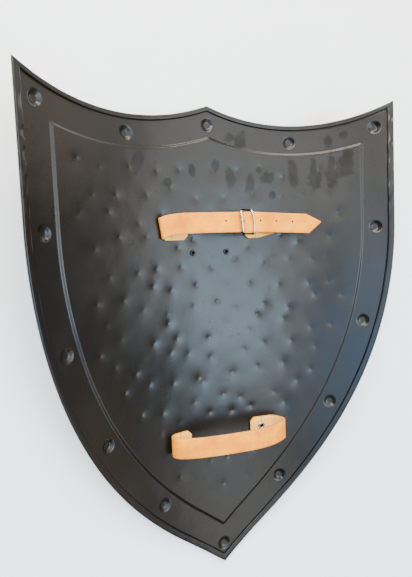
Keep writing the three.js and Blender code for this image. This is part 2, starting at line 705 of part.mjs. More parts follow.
// Buckle frame: a rounded rectangle tilted from the heel bar up to the outer bar.
function framePoints() {
  const half = BUCKLE_WIDTH / 2 - WIRE / 2;
  const slope = new THREE.Vector2(BAR_U - HEEL_U, BAR_W - HEEL_W);
  const run = slope.length();
  const points = [];
  const corners = [[0, -half], [run, -half], [run, half], [0, half]];
  corners.forEach(([s, v], i) => {
    const cs = s + (s > 0 ? -BUCKLE_CORNER : BUCKLE_CORNER);
    const cv = v + (v > 0 ? -BUCKLE_CORNER : BUCKLE_CORNER);
    for (let k = 0; k <= 3; k++) {
      const turn = Math.PI + (i * Math.PI) / 2 + (k * Math.PI) / 6;
      points.push([cs + BUCKLE_CORNER * Math.cos(turn), cv + BUCKLE_CORNER * Math.sin(turn)]);
    }
  });
  return points.map(([s, v]) => bend(
    HEEL_U + (slope.x * s) / run, BUCKLE_V + v, HEEL_W + (slope.y * s) / run));
}

// Tongue: hooked round the heel bar, up through the billet's hole and over the outer bar.
function tonguePoints() {
  const clear = WIRE / 2 + BUCKLE_GAP + TONGUE_WIRE / 2;
  const hook = turnPoints(HEEL_U, HEEL_W, clear, ...TONGUE_HOOK, 5);
  const below = BILLET_W - LEATHER / 2;
  const shaft = [[TONGUE_HOLE_U + TONGUE_BACK, below - TONGUE_DEEP],
    [TONGUE_HOLE_U, below - TONGUE_EASE], [TONGUE_HOLE_U, BAR_W + TONGUE_RISE]];
  const over = turnPoints(BAR_U, BAR_W, clear, ...TONGUE_OVER, 4);
  const tip = [[BAR_U - TONGUE_TIP[0], BAR_W + clear - TONGUE_TIP[1]]];
  return [...hook, ...shaft, ...over, ...tip].map(([u, w]) => bend(u, TONGUE_V, w));
}

// Keeper: a wire arch over the billet whose ends reach down beside the heel bar.
function keeperPoints() {
  const top = BILLET_W + LEATHER / 2 + BUCKLE_GAP + KEEPER_WIRE / 2 + KEEPER_TOP_GAP;
  const half = STRAP_WIDTH / 2 + BUCKLE_GAP + KEEPER_WIRE / 2;
  const across = 6;
  const points = [];
  const foot = HEEL_W + WIRE / 2 + KEEPER_WIRE / 2 + KEEPER_FOOT_GAP;
  points.push([HEEL_U - KEEPER_FOOT_SHIFT, -half, foot]);
  for (let i = 0; i <= across; i++) {
    const share = (2 * i) / across - 1;
    const bow = KEEPER_BOW * (1 - share ** 2);
    points.push([HEEL_U - KEEPER_SHIFT + bow, share * half, top - KEEPER_SINK * share ** 4]);
  }
  points.push([HEEL_U - KEEPER_FOOT_SHIFT, half, foot]);
  return points.map(([u, v, w]) => bend(u, armMiddle(HEEL_U) + v, w));
}

// A tubular rivet: a head under the sheet and a clinched ring above seatHeight.
function rivetGeometry(seatHeight, clinchRadius) {
  const head = FIELD_RISE - SHEET - GAP;
  const seat = seatHeight + GAP;
  const top = seat + CLINCH_HEIGHT;
  const profile = [
    [0, head - HEAD_HEIGHT], [HEAD_RADIUS * HEAD_DOME[0], head - HEAD_HEIGHT * HEAD_DOME[1]],
    [HEAD_RADIUS, head - HEAD_RIM], [HEAD_RADIUS, head], [SHANK_RADIUS, head], [SHANK_RADIUS, seat],
    [clinchRadius, seat], [clinchRadius, seat + CLINCH_EDGE], [clinchRadius * CLINCH_SHOULDER, top],
    [RIVET_BORE + BORE_EASE, top - BORE_EASE], [RIVET_BORE, seat], [0, seat - CLINCH_EDGE],
  ];
  const geometry = new THREE.LatheGeometry(profile.map(([r, z]) => new THREE.Vector2(r, z)), 10);
  geometry.rotateX(Math.PI / 2);
  geometry.deleteAttribute('normal');
  geometry.deleteAttribute('uv');
  return BufferGeometryUtils.mergeVertices(geometry, 1e-4);
}

const shield = new THREE.Group();
shield.position.set(0, -LENGTH / 2, BOSS_DEPTH + SHEET);

function addPiece(name, geometry, material) {
  const mesh = new THREE.Mesh(geometry, material);
  mesh.name = name;
  shield.add(mesh);
  return mesh;
}

function addRivet([name, u, v], seatHeight, clinchRadius, material) {
  const mesh = addPiece(name, rivetGeometry(seatHeight, clinchRadius), material);
  mesh.position.copy(bend(u, v, 0));
  mesh.rotation.y = -u / BEND_RADIUS;
}

addPiece('shield_plate', plateGeometry(), STEEL);
addPiece('arm_strap_billet', punchedBillet(), TAN);
addPiece('arm_strap_chape', chapeGeometry(), TAN);
addPiece('grip_strap', gripGeometry(), TAN);
addPiece('buckle_frame', wireGeometry(framePoints(), WIRE, true), NICKEL);
addPiece('buckle_tongue', wireGeometry(tonguePoints(), TONGUE_WIRE, false), NICKEL);
addPiece('strap_keeper', wireGeometry(keeperPoints(), KEEPER_WIRE, false), NICKEL);
STRAP_RIVETS.forEach((place) => addRivet(place, SEAT + LEATHER / 2, CLINCH_RADIUS, NICKEL));
SMALL_RIVETS.forEach((place) => addRivet(place, FIELD_RISE, SMALL_CLINCH_RADIUS, STEEL));

export default shield;
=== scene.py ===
import math

import bmesh
import bpy
import numpy as np
from mathutils import Matrix, Vector, noise
from mathutils.geometry import delaunay_2d_cdt


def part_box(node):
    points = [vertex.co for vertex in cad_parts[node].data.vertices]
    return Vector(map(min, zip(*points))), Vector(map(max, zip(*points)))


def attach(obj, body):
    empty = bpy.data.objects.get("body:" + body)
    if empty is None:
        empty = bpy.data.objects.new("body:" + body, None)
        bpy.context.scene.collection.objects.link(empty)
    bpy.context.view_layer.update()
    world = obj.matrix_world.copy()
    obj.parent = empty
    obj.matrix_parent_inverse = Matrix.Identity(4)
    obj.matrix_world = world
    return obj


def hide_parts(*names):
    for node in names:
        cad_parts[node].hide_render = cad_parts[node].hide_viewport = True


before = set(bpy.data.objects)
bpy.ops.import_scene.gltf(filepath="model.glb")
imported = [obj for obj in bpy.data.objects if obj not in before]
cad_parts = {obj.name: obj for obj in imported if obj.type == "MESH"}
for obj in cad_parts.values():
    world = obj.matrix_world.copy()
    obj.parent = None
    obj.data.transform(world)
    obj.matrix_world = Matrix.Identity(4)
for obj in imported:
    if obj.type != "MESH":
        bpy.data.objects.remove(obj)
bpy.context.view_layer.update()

# Driving sizes in metres, the same as the shield's own. u runs across the flat sheet,
# v along it from the tip and w up from the border's back face.
MM = 0.001
PLATE_LOW, PLATE_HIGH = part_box("shield_plate")
LENGTH = PLATE_HIGH[1] - PLATE_LOW[1]
HALF = 251.5 * MM
SIDE_RADIUS = 525 * MM
TIP_STRAIGHT = 76 * MM
PEAK_DROP = 3 * MM
TOP_SAG = 23.5 * MM
BEND_RADIUS = 372 * MM
SHEET = 1.2 * MM
HEM_WIDTH = 8 * MM
HEM_TOP_WIDTH = 5.5 * MM
HEM_HEIGHT = 1.6 * MM
HEM_GAP = 0.4 * MM
HEM_LIP = 1.1 * MM
HEM_UNDER = 3.5 * MM
HEM_FRONT = 3 * MM
HEM_OVERLAP = 0.02 * MM
HEM_MIDDLE = 0.55
BORDER = 41.5 * MM
BORDER_TOP = 37.5 * MM
FIELD_RISE = 2 * MM
STEP = 4.3 * MM
BOSS_INSET = 24.5 * MM
BOSS_TOP_INSET = 22.2 * MM
BOSS_TOP_U = 113.5 * MM
BOSS_TIP_V = 25.5 * MM
BOSS_DEPTH = 3 * MM
BOSS_FLAT = 3.2 * MM
BOSS_MOUTH = 9.4 * MM
BOSS_GAPS = [131 * MM, 129 * MM, 123 * MM, 126 * MM]
DENT_PITCH = 37 * MM
DENT_ROW = 29 * MM
DENT_JITTER = 9 * MM
DENT_DEPTH = 1 * MM
DENT_PIT_RADIUS = 3.2 * MM
DENT_DISH_RADIUS = 8.5 * MM
DENT_PIT_SHARE = 0.45
DENT_STRENGTH = 0.8
DENT_STRENGTH_SCATTER = 0.5
DEEP_DENTS = [(-68 * MM, 335 * MM, 1.5), (61 * MM, 335 * MM, 1.5), (-27 * MM, 260 * MM, 1.5)]
FIELD_MARGIN = 14 * MM

# Finer relief of the sheet's back face.
GROOVE_DEPTH = 0.35 * MM
GROOVE_START = 0.2 * MM
GROOVE_END = 1.1 * MM
RIVET_PULL = 0.25 * MM
RIVET_PULL_RADIUS = 8 * MM
CALM_EDGE = 20 * MM
SWELL_HEIGHT = 0.35 * MM
SWELL_SIZE = 55 * MM
RIPPLE_HEIGHT = 0.12 * MM
RIPPLE_SIZE = 18 * MM

# Hammer blows along the hem: the run of each pattern and the height or shift that it gives.
FLAT_RUN = 14 * MM
FLAT_HEIGHT = 0.2 * MM
WAVE_RUN = 32 * MM
WAVE_SHIFT = 0.6 * MM
FACET_RUN = 28 * MM
FACET_HEIGHT = 0.6 * MM
FACET_SLANT = 0.35
FACET_WANDER = 0.4
FACET_CRISPNESS = 3
FACET_FADE_BELOW = 40 * MM
FACET_FADE_ABOVE = 60 * MM
TOP_EDGE_BLOWS = 0.15
BEATEN_FROM = 0.6 * MM
CORNER_CALM = 12 * MM

# Spacing and clearances of the sheet's mesh.
RIM = 0.7 * MM
RIM_SLACK = 0.001 * MM
LOOP_SPACING = 3 * MM
HEM_SPACING = 2.2 * MM
HEM_LOOPS = (-3.5, -0.5, 0.2, 0.5, 0.8, 1.1, 1.4, 1.8, 3.0, 5.5)
STEP_LOOPS = (-1.4, -1.0, -0.8, -0.6, -0.4, -0.2, 0, 0.2, 0.4, 0.6, 0.8, 1.0, 1.4)
BOSS_RINGS = [(1.3, 14), (2.6, 14)] + [(r, 30) for r in (3.6, 4.6, 5.6, 6.6, 7.6, 8.6, 9.4, 10.6)]
DENT_RINGS = [(1, 6), (2, 10), (3.1, 12), (4.5, 12), (7, 14)]
GRID_U = 5 * MM
GRID_V = 4.33 * MM
GRID_MARGIN = 13 * MM
GRID_OFF_STEP = 5.5 * MM
BOSS_CLEAR = 12.5 * MM
DENT_CLEAR = 9 * MM
MERGE_MM = 0.02

# Straps and the small rivets below them.
LEATHER = 2.8 * MM
STRAP_WIDTH = 25.4 * MM
LEATHER_GAP = 0.5 * MM
RIVET_SPAN = 120 * MM
ARM_V = 450.5 * MM
GRIP_V = 182 * MM
FLAP_CHAMFER = 5 * MM
ARM_BOW = 7.5 * MM
ARM_BOW_RUN = 8.5 * MM
ARM_DROOP = 5 * MM
SMALL_V = 421.5 * MM
SMALL_U = -5 * MM
SMALL_SPAN = 48 * MM

# Buckle, keeper, and the billet's point and holes.
WIRE = 3.2 * MM
SIDE_WIRE = 2.1 * MM
BAR_WIRE = 4.4 * MM
BUCKLE_LEAN = 0.09
TONGUE_WIRE = 1.8 * MM
KEEPER_WIRE = 2.5 * MM
BUCKLE_WIDTH = 33.4 * MM
BUCKLE_SHIFT = 0.5 * MM
BUCKLE_GAP = 0.8 * MM
BAR_U, BAR_W = 30 * MM, 33 * MM
HEEL_U, HEEL_W = 51 * MM, 23 * MM
TIP_U, TIP_W = 152 * MM, 8 * MM
TIP_TOP_LENGTH = 21 * MM
TIP_LOWER_LENGTH = 17.5 * MM
TIP_SHIFT = 3 * MM
TIP_HALF_WIDTH = 0.8 * MM
HOLE_PITCH = 25.4 * MM
HOLE_COUNT = 5
HOLE_SHIFT = 1.8 * MM
HOLE_RADIUS = 1.2 * MM
TONGUE_HOLE_RADIUS = 1.7 * MM
CHAPE_HALF_WIDTH = 12 * MM

# Worked out: the side arc's centre, the tip's lean, and the places of leather and sheet.
ARC_U = HALF - SIDE_RADIUS
ARC_V = math.sqrt(SIDE_RADIUS ** 2 + TIP_STRAIGHT ** 2 - ARC_U ** 2)
TIP_LEAN = math.atan2(ARC_V, ARC_U) - math.atan2(SIDE_RADIUS, TIP_STRAIGHT)
SEAT = FIELD_RISE + LEATHER_GAP + LEATHER / 2
LIFT = BOSS_DEPTH + SHEET


def bend(u, v, w):
    """Place of a flat point on the bent shield, in the CAD frame."""
    reach = BEND_RADIUS - w
    x = reach * np.sin(u / BEND_RADIUS)
    z = BEND_RADIUS - reach * np.cos(u / BEND_RADIUS) + LIFT
    return np.stack([x, v - LENGTH / 2 + 0 * x, z], axis=-1)


def top_arc():
    """Centre and radius of the right half of the top edge."""
    peak = np.array([0, LENGTH - PEAK_DROP])
    corner = np.array([HALF, LENGTH])
    chord = np.linalg.norm(corner - peak)
    radius = (chord ** 2 / 4 + TOP_SAG ** 2) / (2 * TOP_SAG)
    along = (corner - peak) / chord
    up = np.array([-along[1], along[0]])
    return (peak + corner) / 2 + up * (radius - TOP_SAG), radius


TOP_CENTRE, TOP_RADIUS = top_arc()


def side_and_top(u, v):
    """How far a flat point lies inside the side and tip, and inside the top edge."""
    across = np.abs(u)
    side = np.where(v > ARC_V, HALF - across, SIDE_RADIUS - np.hypot(across - ARC_U, v - ARC_V))
    straight = (v < ARC_V) & (across * math.cos(TIP_LEAN) + v * math.sin(TIP_LEAN) < TIP_STRAIGHT)
    side = np.where(straight, v * math.cos(TIP_LEAN) - across * math.sin(TIP_LEAN), side)
    top = np.hypot(across - TOP_CENTRE[0], v - TOP_CENTRE[1]) - TOP_RADIUS
    return side, top


def inset(u, v):
    return np.minimum(*side_and_top(u, v))


def smooth(low, high, x):
    t = np.clip((x - low) / (high - low), 0, 1)
    return t * t * (3 - 2 * t)


def top_v(u, distance):
    return TOP_CENTRE[1] - np.sqrt((TOP_RADIUS + distance) ** 2 - (u - TOP_CENTRE[0]) ** 2)


def loop(distance, spacing, top_distance=None):
    """The outline moved inwards, as a closed run of flat points about spacing apart."""
    if top_distance is None:
        top_distance = distance
    radius = SIDE_RADIUS - distance
    side_u = HALF - distance
    turn = math.pi / 2 - TIP_LEAN
    joint = np.array([ARC_U + radius * math.cos(turn), ARC_V - radius * math.sin(turn)])
    lowest = np.array([0, distance / math.cos(TIP_LEAN)])
    share = np.linspace(0, 1, int(TIP_STRAIGHT / spacing), endpoint=False)
    right = [lowest + share[:, None] * (joint - lowest)]
    arc = np.linspace(turn, 0, int(SIDE_RADIUS * turn / spacing), endpoint=False)
    right.append(np.stack([ARC_U + radius * np.cos(arc), ARC_V - radius * np.sin(arc)], axis=1))
    corner_v = top_v(side_u, top_distance)
    up = np.linspace(ARC_V, corner_v, int((LENGTH - ARC_V) / spacing), endpoint=False)
    right.append(np.stack([np.full_like(up, side_u), up], axis=1))
    across = np.linspace(side_u, 0, int(HALF / spacing))
    right.append(np.stack([across, top_v(across, top_distance)], axis=1))
    right = np.concatenate(right)
    left = right[1:-1][::-1] * np.array([-1, 1])
    return np.concatenate([right, left])


def boss_centres():
    """The bosses' flat places: one at the peak, one at the tip, and six down each side."""
    radius = SIDE_RADIUS - BOSS_INSET
    side_u = HALF - BOSS_INSET
    corner_v = top_v(side_u, BOSS_TOP_INSET)
    right = [(side_u, corner_v), (BOSS_TOP_U, top_v(BOSS_TOP_U, BOSS_TOP_INSET))]
    along = 0
    for gap in BOSS_GAPS:
        along += gap
        turn = (along - (corner_v - ARC_V)) / radius
        if turn > 0:
            right.append((ARC_U + radius * math.cos(turn), ARC_V - radius * math.sin(turn)))
        else:
            right.append((side_u, corner_v - along))
    middle = [(0, top_v(0, BOSS_TOP_INSET)), (0, BOSS_TIP_V)]
    return middle + right + [(-u, v) for u, v in right]


def scatter(i, j, seed):
    """A fixed scattered value from -1 to 1 for each dent."""
    value = math.sin(i * 127.1 + j * 311.7 + seed * 74.7) * 43758.5453
    return 2 * (value - math.floor(value)) - 1


STRAP_RIVETS = {
    "rivet_arm_left": (-RIVET_SPAN / 2, ARM_V), "rivet_arm_right": (RIVET_SPAN / 2, ARM_V),
    "rivet_grip_left": (-RIVET_SPAN / 2, GRIP_V), "rivet_grip_right": (RIVET_SPAN / 2, GRIP_V),
}
SMALL_RIVETS = {
    "rivet_small_left": (SMALL_U - SMALL_SPAN / 2, SMALL_V),
    "rivet_small_right": (SMALL_U + SMALL_SPAN / 2, SMALL_V),
}
ALL_RIVETS = list(STRAP_RIVETS.values()) + list(SMALL_RIVETS.values())


def dent_centres():
    """Staggered rows with a hand-punched scatter, and a strength for each dent."""
    limit = BORDER + STEP / 2 + FIELD_MARGIN
    dents = []
    columns = math.ceil(HALF / DENT_PITCH)
    for row in range(1, int(LENGTH / DENT_ROW) + 1):
        for column in range(-columns, columns + 1):
            u = (column + (row % 2) * 0.5) * DENT_PITCH + DENT_JITTER * scatter(row, column, 1)
            v = row * DENT_ROW + DENT_JITTER * scatter(row, column, 2)
            free = all(math.hypot(u - ru, v - rv) > FIELD_MARGIN for ru, rv in ALL_RIVETS)
            if free and inset(u, v) > limit:
                strength = DENT_STRENGTH + DENT_STRENGTH_SCATTER * scatter(row, column, 4)
                dents.append((u, v, strength))
    return dents + DEEP_DENTS


BOSSES = boss_centres()
DENTS = dent_centres()


def wander(u, v, size, seed):
    """Soft noise over the flat sheet, one value a point."""
    return np.array([noise.noise(Vector((a / size, b / size, seed))) for a, b in zip(u, v)])


def relief(u, v):
    """Height of the sheet's back face over the border."""
    side, top = side_and_top(u, v)
    distance = np.minimum(side, top)
    w = FIELD_RISE * smooth(-STEP / 2, STEP / 2, np.minimum(side - BORDER, top - BORDER_TOP))
    from_hem = np.minimum(side - HEM_WIDTH, top - HEM_TOP_WIDTH)
    w = w - GROOVE_DEPTH * (1 - smooth(GROOVE_START, GROOVE_END, from_hem))
    for bu, bv in BOSSES:
        r = np.hypot(u - bu, v - bv)
        near = r < 3 * BOSS_MOUTH
        w = w - BOSS_DEPTH * np.where(near, 1 - smooth(BOSS_FLAT, BOSS_MOUTH, r), 0)
    for du, dv, strength in DENTS:
        r = np.hypot(u - du, v - dv)
        pit = np.exp(-(r / DENT_PIT_RADIUS) ** 2)
        dish = np.exp(-(r / DENT_DISH_RADIUS) ** 2)
        w = w - DENT_DEPTH * strength * (DENT_PIT_SHARE * pit + (1 - DENT_PIT_SHARE) * dish)
    for ru, rv in ALL_RIVETS:
        r = np.hypot(u - ru, v - rv)
        w = w - RIVET_PULL * np.exp(-(r / RIVET_PULL_RADIUS) ** 2)
    calm = smooth(0, CALM_EDGE, distance)
    w = w + calm * SWELL_HEIGHT * wander(u, v, SWELL_SIZE, 3.0)
    return w + calm * RIPPLE_HEIGHT * wander(u, v, RIPPLE_SIZE, 9.0)


def ring(u, v, radius, count):
    """Flat points on a circle, each size turned a little so that rings don't line up."""
    turn = np.linspace(0, 2 * math.pi, count, endpoint=False) + radius / MM
    return np.stack([u + radius * np.cos(turn), v + radius * np.sin(turn)], axis=1)


def sheet_points():
    """Flat points of the sheet's mesh: loops, rings round each boss and dent, and a lattice."""
    rings = [loop(RIM, LOOP_SPACING)]
    for from_hem in HEM_LOOPS:
        reach = from_hem * MM
        rings.append(loop(HEM_WIDTH + reach, LOOP_SPACING, HEM_TOP_WIDTH + reach))
    for share in STEP_LOOPS:
        reach = share * STEP / 2
        rings.append(loop(BORDER + reach, LOOP_SPACING, BORDER_TOP + reach))
    for bu, bv in BOSSES:
        rings += [ring(bu, bv, radius * MM, count) for radius, count in BOSS_RINGS]
    for du, dv, _ in DENTS:
        rings.append(np.array([[du, dv]]))
        rings += [ring(du, dv, radius * MM, count) for radius, count in DENT_RINGS]
    detail = np.concatenate(rings)
    grid_u, grid_v = np.meshgrid(np.arange(-HALF, HALF, GRID_U), np.arange(0, LENGTH, GRID_V))
    grid_u = grid_u + (np.arange(grid_u.shape[0]) % 2)[:, None] * GRID_U / 2
    lattice = np.stack([grid_u.ravel(), grid_v.ravel()], axis=1)
    side, top = side_and_top(lattice[:, 0], lattice[:, 1])
    from_step = np.abs(np.minimum(side - BORDER, top - BORDER_TOP))
    lattice = lattice[(np.minimum(side, top) > GRID_MARGIN) & (from_step > GRID_OFF_STEP)]
    for centres, reach in ((BOSSES, BOSS_CLEAR), (DENTS, DENT_CLEAR)):
        for centre in centres:
            apart = np.hypot(lattice[:, 0] - centre[0], lattice[:, 1] - centre[1])
            lattice = lattice[apart > reach]
    return np.concatenate([detail, lattice])


def make_object(name, verts, faces, material_index=None):
    """A smooth shaded mesh object, with its faces turned outwards."""
    mesh = bpy.data.meshes.new(name)
    mesh.from_pydata([tuple(p) for p in verts], [], faces)
    mesh.validate()
    if material_index is not None and len(material_index) == len(mesh.polygons):
        mesh.polygons.foreach_set("material_index", material_index)
    mesh.polygons.foreach_set("use_smooth", [True] * len(mesh.polygons))
    outward = bmesh.new()
    outward.from_mesh(mesh)
    bmesh.ops.recalc_face_normals(outward, faces=outward.faces)
    outward.to_mesh(mesh)
    outward.free()
    mesh.update()
    obj = bpy.data.objects.new(name, mesh)
    bpy.context.scene.collection.objects.link(obj)
    return obj


def hem_profile():
    """Section of the folded hem as (inset, height) from the front face round to the fold's lip."""
    low, top = -SHEET, HEM_HEIGHT
    middle = (top + low) / 2
    radius = (top - low) / 2
    points = [(HEM_FRONT, low + HEM_OVERLAP), (radius, low)]
    for k in range(1, 8):
        turn = math.pi * k / 8
        points.append((radius - radius * math.sin(turn), middle - radius * math.cos(turn)))
    lip_inset = HEM_WIDTH - HEM_LIP
    points += [(radius, top), (HEM_WIDTH * HEM_MIDDLE, top), (lip_inset, top)]
    lip = (top - HEM_GAP) / 2
    for k in range(1, 6):
        turn = math.pi * k / 6
        points.append((lip_inset + HEM_LIP * math.sin(turn), top - lip + lip * math.cos(turn)))
    points.append((HEM_WIDTH - HEM_UNDER, HEM_GAP))
    return points


def wander_along(length, run, lane, seed):
    """Soft noise along the hem, one value a point."""
    return np.array([noise.noise(Vector((s / run, lane, seed))) for s in length])


def hem_mesh():
    """The folded strip, swept round the outline with hammered flats along it."""
    base = loop(0, HEM_SPACING)
    count = len(base)
    ahead = np.roll(base, -1, axis=0) - np.roll(base, 1, axis=0)
    ahead = ahead / np.linalg.norm(ahead, axis=1)[:, None]
    normal = np.stack([-ahead[:, 1], ahead[:, 0]], axis=1)
    length = np.cumsum(np.hypot(*(base - np.roll(base, 1, axis=0)).T))
    flat = wander_along(length, FLAT_RUN, 0.5, 2.0)
    wave = wander_along(length, WAVE_RUN, 4.5, 7.0)
    upper = smooth(ARC_V - FACET_FADE_BELOW, ARC_V + FACET_FADE_ABOVE, base[:, 1])
    side, top = side_and_top(base[:, 0], base[:, 1])
    corner = smooth(0, CORNER_CALM, np.maximum(side, top))
    blows = np.where(top < 1 * MM, TOP_EDGE_BLOWS, 1.0) * corner
    verts = []
    for distance, height in hem_profile():
        ratio = min(1.0, distance / HEM_WIDTH)
        narrower = 1 - ratio * (1 - HEM_TOP_WIDTH / HEM_WIDTH)
        moved = loop(distance, HEM_SPACING, distance * narrower)
        moved = moved + normal * (blows * ratio * WAVE_SHIFT * wave)[:, None]
        phase = length / FACET_RUN + FACET_SLANT * ratio + FACET_WANDER * wave
        facet = np.tanh(FACET_CRISPNESS * np.sin(2 * math.pi * phase))
        beaten = FACET_HEIGHT * (2 * ratio - 1) * facet * upper - FLAT_HEIGHT * flat
        w = height + blows * beaten * (height > BEATEN_FROM)
        verts.append(bend(moved[:, 0], moved[:, 1], w))
    verts = np.concatenate(verts)
    rings = len(verts) // count
    faces = []
    for k in range(rings - 1):
        for i in range(count):
            j = (i + 1) % count
            faces.append((k * count + i, k * count + j, (k + 1) * count + j, (k + 1) * count + i))
    return verts, faces


def plate():
    """The sheet's two faces and its edges, with the folded hem."""
    points = sheet_points()
    result = delaunay_2d_cdt([Vector(p) for p in points / MM], [], [], 0, MERGE_MM, False)
    flat = np.array([tuple(p) for p in result[0]]) * MM
    tris = np.array(result[2])
    centre = flat[tris].mean(axis=1)
    tris = tris[inset(centre[:, 0], centre[:, 1]) > RIM - RIM_SLACK]
    u, v = flat[:, 0], flat[:, 1]
    back = relief(u, v)
    verts = np.concatenate([bend(u, v, back), bend(u, v, back - SHEET)])
    size = len(flat)
    faces = [tuple(t) for t in tris] + [tuple(t[::-1] + size) for t in tris]
    edges = {}
    for a, b, c in tris:
        for m, n in ((a, b), (b, c), (c, a)):
            if edges.pop((n, m), None) is None:
                edges[(m, n)] = True
    faces += [(n, m, m + size, n + size) for m, n in edges]
    hem_verts, hem_faces = hem_mesh()
    start = len(verts)
    faces += [tuple(i + start for i in face) for face in hem_faces]
    verts = np.concatenate([verts, hem_verts])
    return make_object("shield_plate_skin", verts, faces)


def turn_points(u, w, radius, start, end, count):
    """Points (u, w) on an arc round a centre."""
    turns = np.linspace(start, end, count + 1)
    return [(u + radius * math.cos(t), w + radius * math.sin(t)) for t in turns]


def smooth_points(knots, spacing):
    """Catmull-Rom points through the knots, about spacing apart."""
    knots = [Vector(k) for k in knots]
    knots = [2 * knots[0] - knots[1]] + knots + [2 * knots[-1] - knots[-2]]
    points = []
    for a, b, c, d in zip(knots, knots[1:], knots[2:], knots[3:]):
        steps = max(2, int((c - b).length / spacing))
        for i in range(steps):
            t = i / steps
            points.append(0.5 * ((2 * b) + (c - a) * t + (2 * a - 5 * b + 4 * c - d) * t * t
                                 + (3 * b - a - 3 * c + d) * t ** 3))
    points.append(knots[-2])
    return [tuple(p) for p in points]


def resample(path, spacing):
    """The path's points at even steps, and the run along it to each."""
    path = np.array(path)
    run = np.concatenate([[0], np.cumsum(np.hypot(*np.diff(path, axis=0).T))])
    at = np.linspace(0, run[-1], max(4, int(run[-1] / spacing)))
    return np.stack([np.interp(at, run, path[:, 0]), np.interp(at, run, path[:, 1])], axis=1), at


ACROSS = 9
ROUND = 0.5 * MM
EASE = 1 - math.sqrt(0.5)
STRAP_SPACING = 1.3 * MM
FLAT_FACE = 0.97 * LEATHER / 2
SURFACE_RIPPLE = 0.12 * MM
SURFACE_RUN = 12 * MM
EDGE_NICK = 0.15 * MM
EDGE_RUN = 4 * MM
GRAIN_SIDE, FLESH_SIDE, CUT_SIDE, HOLE_SIDE = 0, 1, 2, 3


def strap_section():
    """Points round a strap's section as (share of the half width, shift inwards, height)."""
    edge = LEATHER / 2 - ROUND
    mid = LEATHER / 2 - EASE * ROUND
    face = LEATHER / 2
    points = []
    for turn in (1, -1):
        points += [(-turn, 0.0, -turn * edge), (-turn, EASE * ROUND, -turn * mid)]
        points += [(turn * share, ROUND * abs(share), -turn * face)
                   for share in np.linspace(-1, 1, ACROSS)]
        points += [(turn, EASE * ROUND, -turn * mid), (turn, 0.0, -turn * edge)]
    return points


def strap(name, path, edges, seed, slant=None):
    """A leather strip along (u, w) points, with eased edges, grain outside and flesh inside."""
    path, run = resample(path, STRAP_SPACING)
    tangent = np.gradient(path, axis=0)
    tangent = tangent / np.linalg.norm(tangent, axis=1)[:, None]
    normal = np.stack([-tangent[:, 1], tangent[:, 0]], axis=1)
    section = strap_section()
    rows = []
    for (u, w), n, s in zip(path, normal, run):
        high, low = edges(u, s, run[-1])
        v, half = (high + low) / 2, (high - low) / 2
        ripple = SURFACE_RIPPLE * noise.noise(Vector((s / SURFACE_RUN, seed, 0)))
        nick = EDGE_NICK * noise.noise(Vector((s / EDGE_RUN, seed, 5.0)))
        for share, inwards, face in section:
            reach = share * (half + nick) - math.copysign(inwards, share)
            aside = slant(s, reach) if slant else 0
            off = face + ripple
            rows.append((u + aside + n[0] * off, v + reach, w + n[1] * off))
    rows = np.array(rows)
    verts = bend(rows[:, 0], rows[:, 1], rows[:, 2])
    width = len(section)
    count = len(path)
    faces, kinds = [], []
    for i in range(count - 1):
        for k in range(width):
            a, b = i * width + k, i * width + (k + 1) % width
            faces.append((a, b, b + width, a + width))
            height = (section[k][2] + section[(k + 1) % width][2]) / 2
            if height > FLAT_FACE:
                kinds.append(GRAIN_SIDE)
            else:
                kinds.append(FLESH_SIDE if height < -FLAT_FACE else CUT_SIDE)
    faces += [tuple(range(width))[::-1], tuple(range((count - 1) * width, count * width))]
    kinds += [CUT_SIDE, CUT_SIDE]
    return make_object(name, verts, faces, kinds)


def flap_half(into):
    """Half the width of a strap at a distance from its chamfered end."""
    return STRAP_WIDTH / 2 - FLAP_CHAMFER + np.clip(into, 0, FLAP_CHAMFER)


# The arm strap's billet. Its rise is given by knots of (u, w) along its middle.
FOLD_RADIUS = LEATHER / 2 + LEATHER_GAP
FOLD_END_TURN = -1.38 * math.pi
FOLD_U = RIVET_SPAN / 2 + 11.5 * MM
FLAP_INNER_U = RIVET_SPAN / 2 - 23 * MM
BILLET_W = BAR_W - WIRE / 2 - BUCKLE_GAP - LEATHER / 2
TONGUE_HOLE_U = BAR_U + WIRE / 2 + BUCKLE_GAP + TONGUE_WIRE / 2


def arm_middle(u):
    """Middle line of the arm strap: a slant at the fold, then a slow sink towards the point."""
    start = max(u + FOLD_U + FOLD_RADIUS + LEATHER, 0)
    sink = max(u, 0) / TIP_U
    return ARM_V + ARM_BOW * (1 - math.exp(-start / ARM_BOW_RUN)) - ARM_DROOP * sink ** 2


def billet_edges(u):
    """Upper and lower reach of the billet from its middle line, with the point off centre."""
    full = STRAP_WIDTH / 2
    past_top = min(max((u - TIP_U + TIP_TOP_LENGTH) / TIP_TOP_LENGTH, 0), 1)
    past_low = min(max((u - TIP_U + TIP_LOWER_LENGTH) / TIP_LOWER_LENGTH, 0), 1)
    top = full + (TIP_SHIFT + TIP_HALF_WIDTH - full) * past_top
    low = full + (TIP_HALF_WIDTH - TIP_SHIFT - full) * past_low
    return top, low


BILLET_KNOTS = [
    (-FOLD_U + 3 * MM, SEAT + 2 * FOLD_RADIUS + 1.2 * MM),
    (-RIVET_SPAN / 2 + 2 * MM, SEAT + 10.5 * MM),
    (-RIVET_SPAN / 2 + 14 * MM, SEAT + 15.5 * MM),
    (-8 * MM, BILLET_W - 3 * MM),
    (BAR_U, BILLET_W),
    (HEEL_U + 1 * MM, BILLET_W + 0.6 * MM),
    (HEEL_U + 41 * MM, BILLET_W - 9 * MM),
    (TIP_U, TIP_W),
]
BILLET_RISE = smooth_points(BILLET_KNOTS, 3 * MM)
FOLD_SHIFT_BEFORE = 3 * MM
FOLD_SHIFT_AFTER = 4 * MM
FOLD_SLANT = 0.15
FOLD_SET_BACK = 1 * MM
FOLD_SLANT_IN = 14 * MM
FOLD_SLANT_OUT = 16 * MM


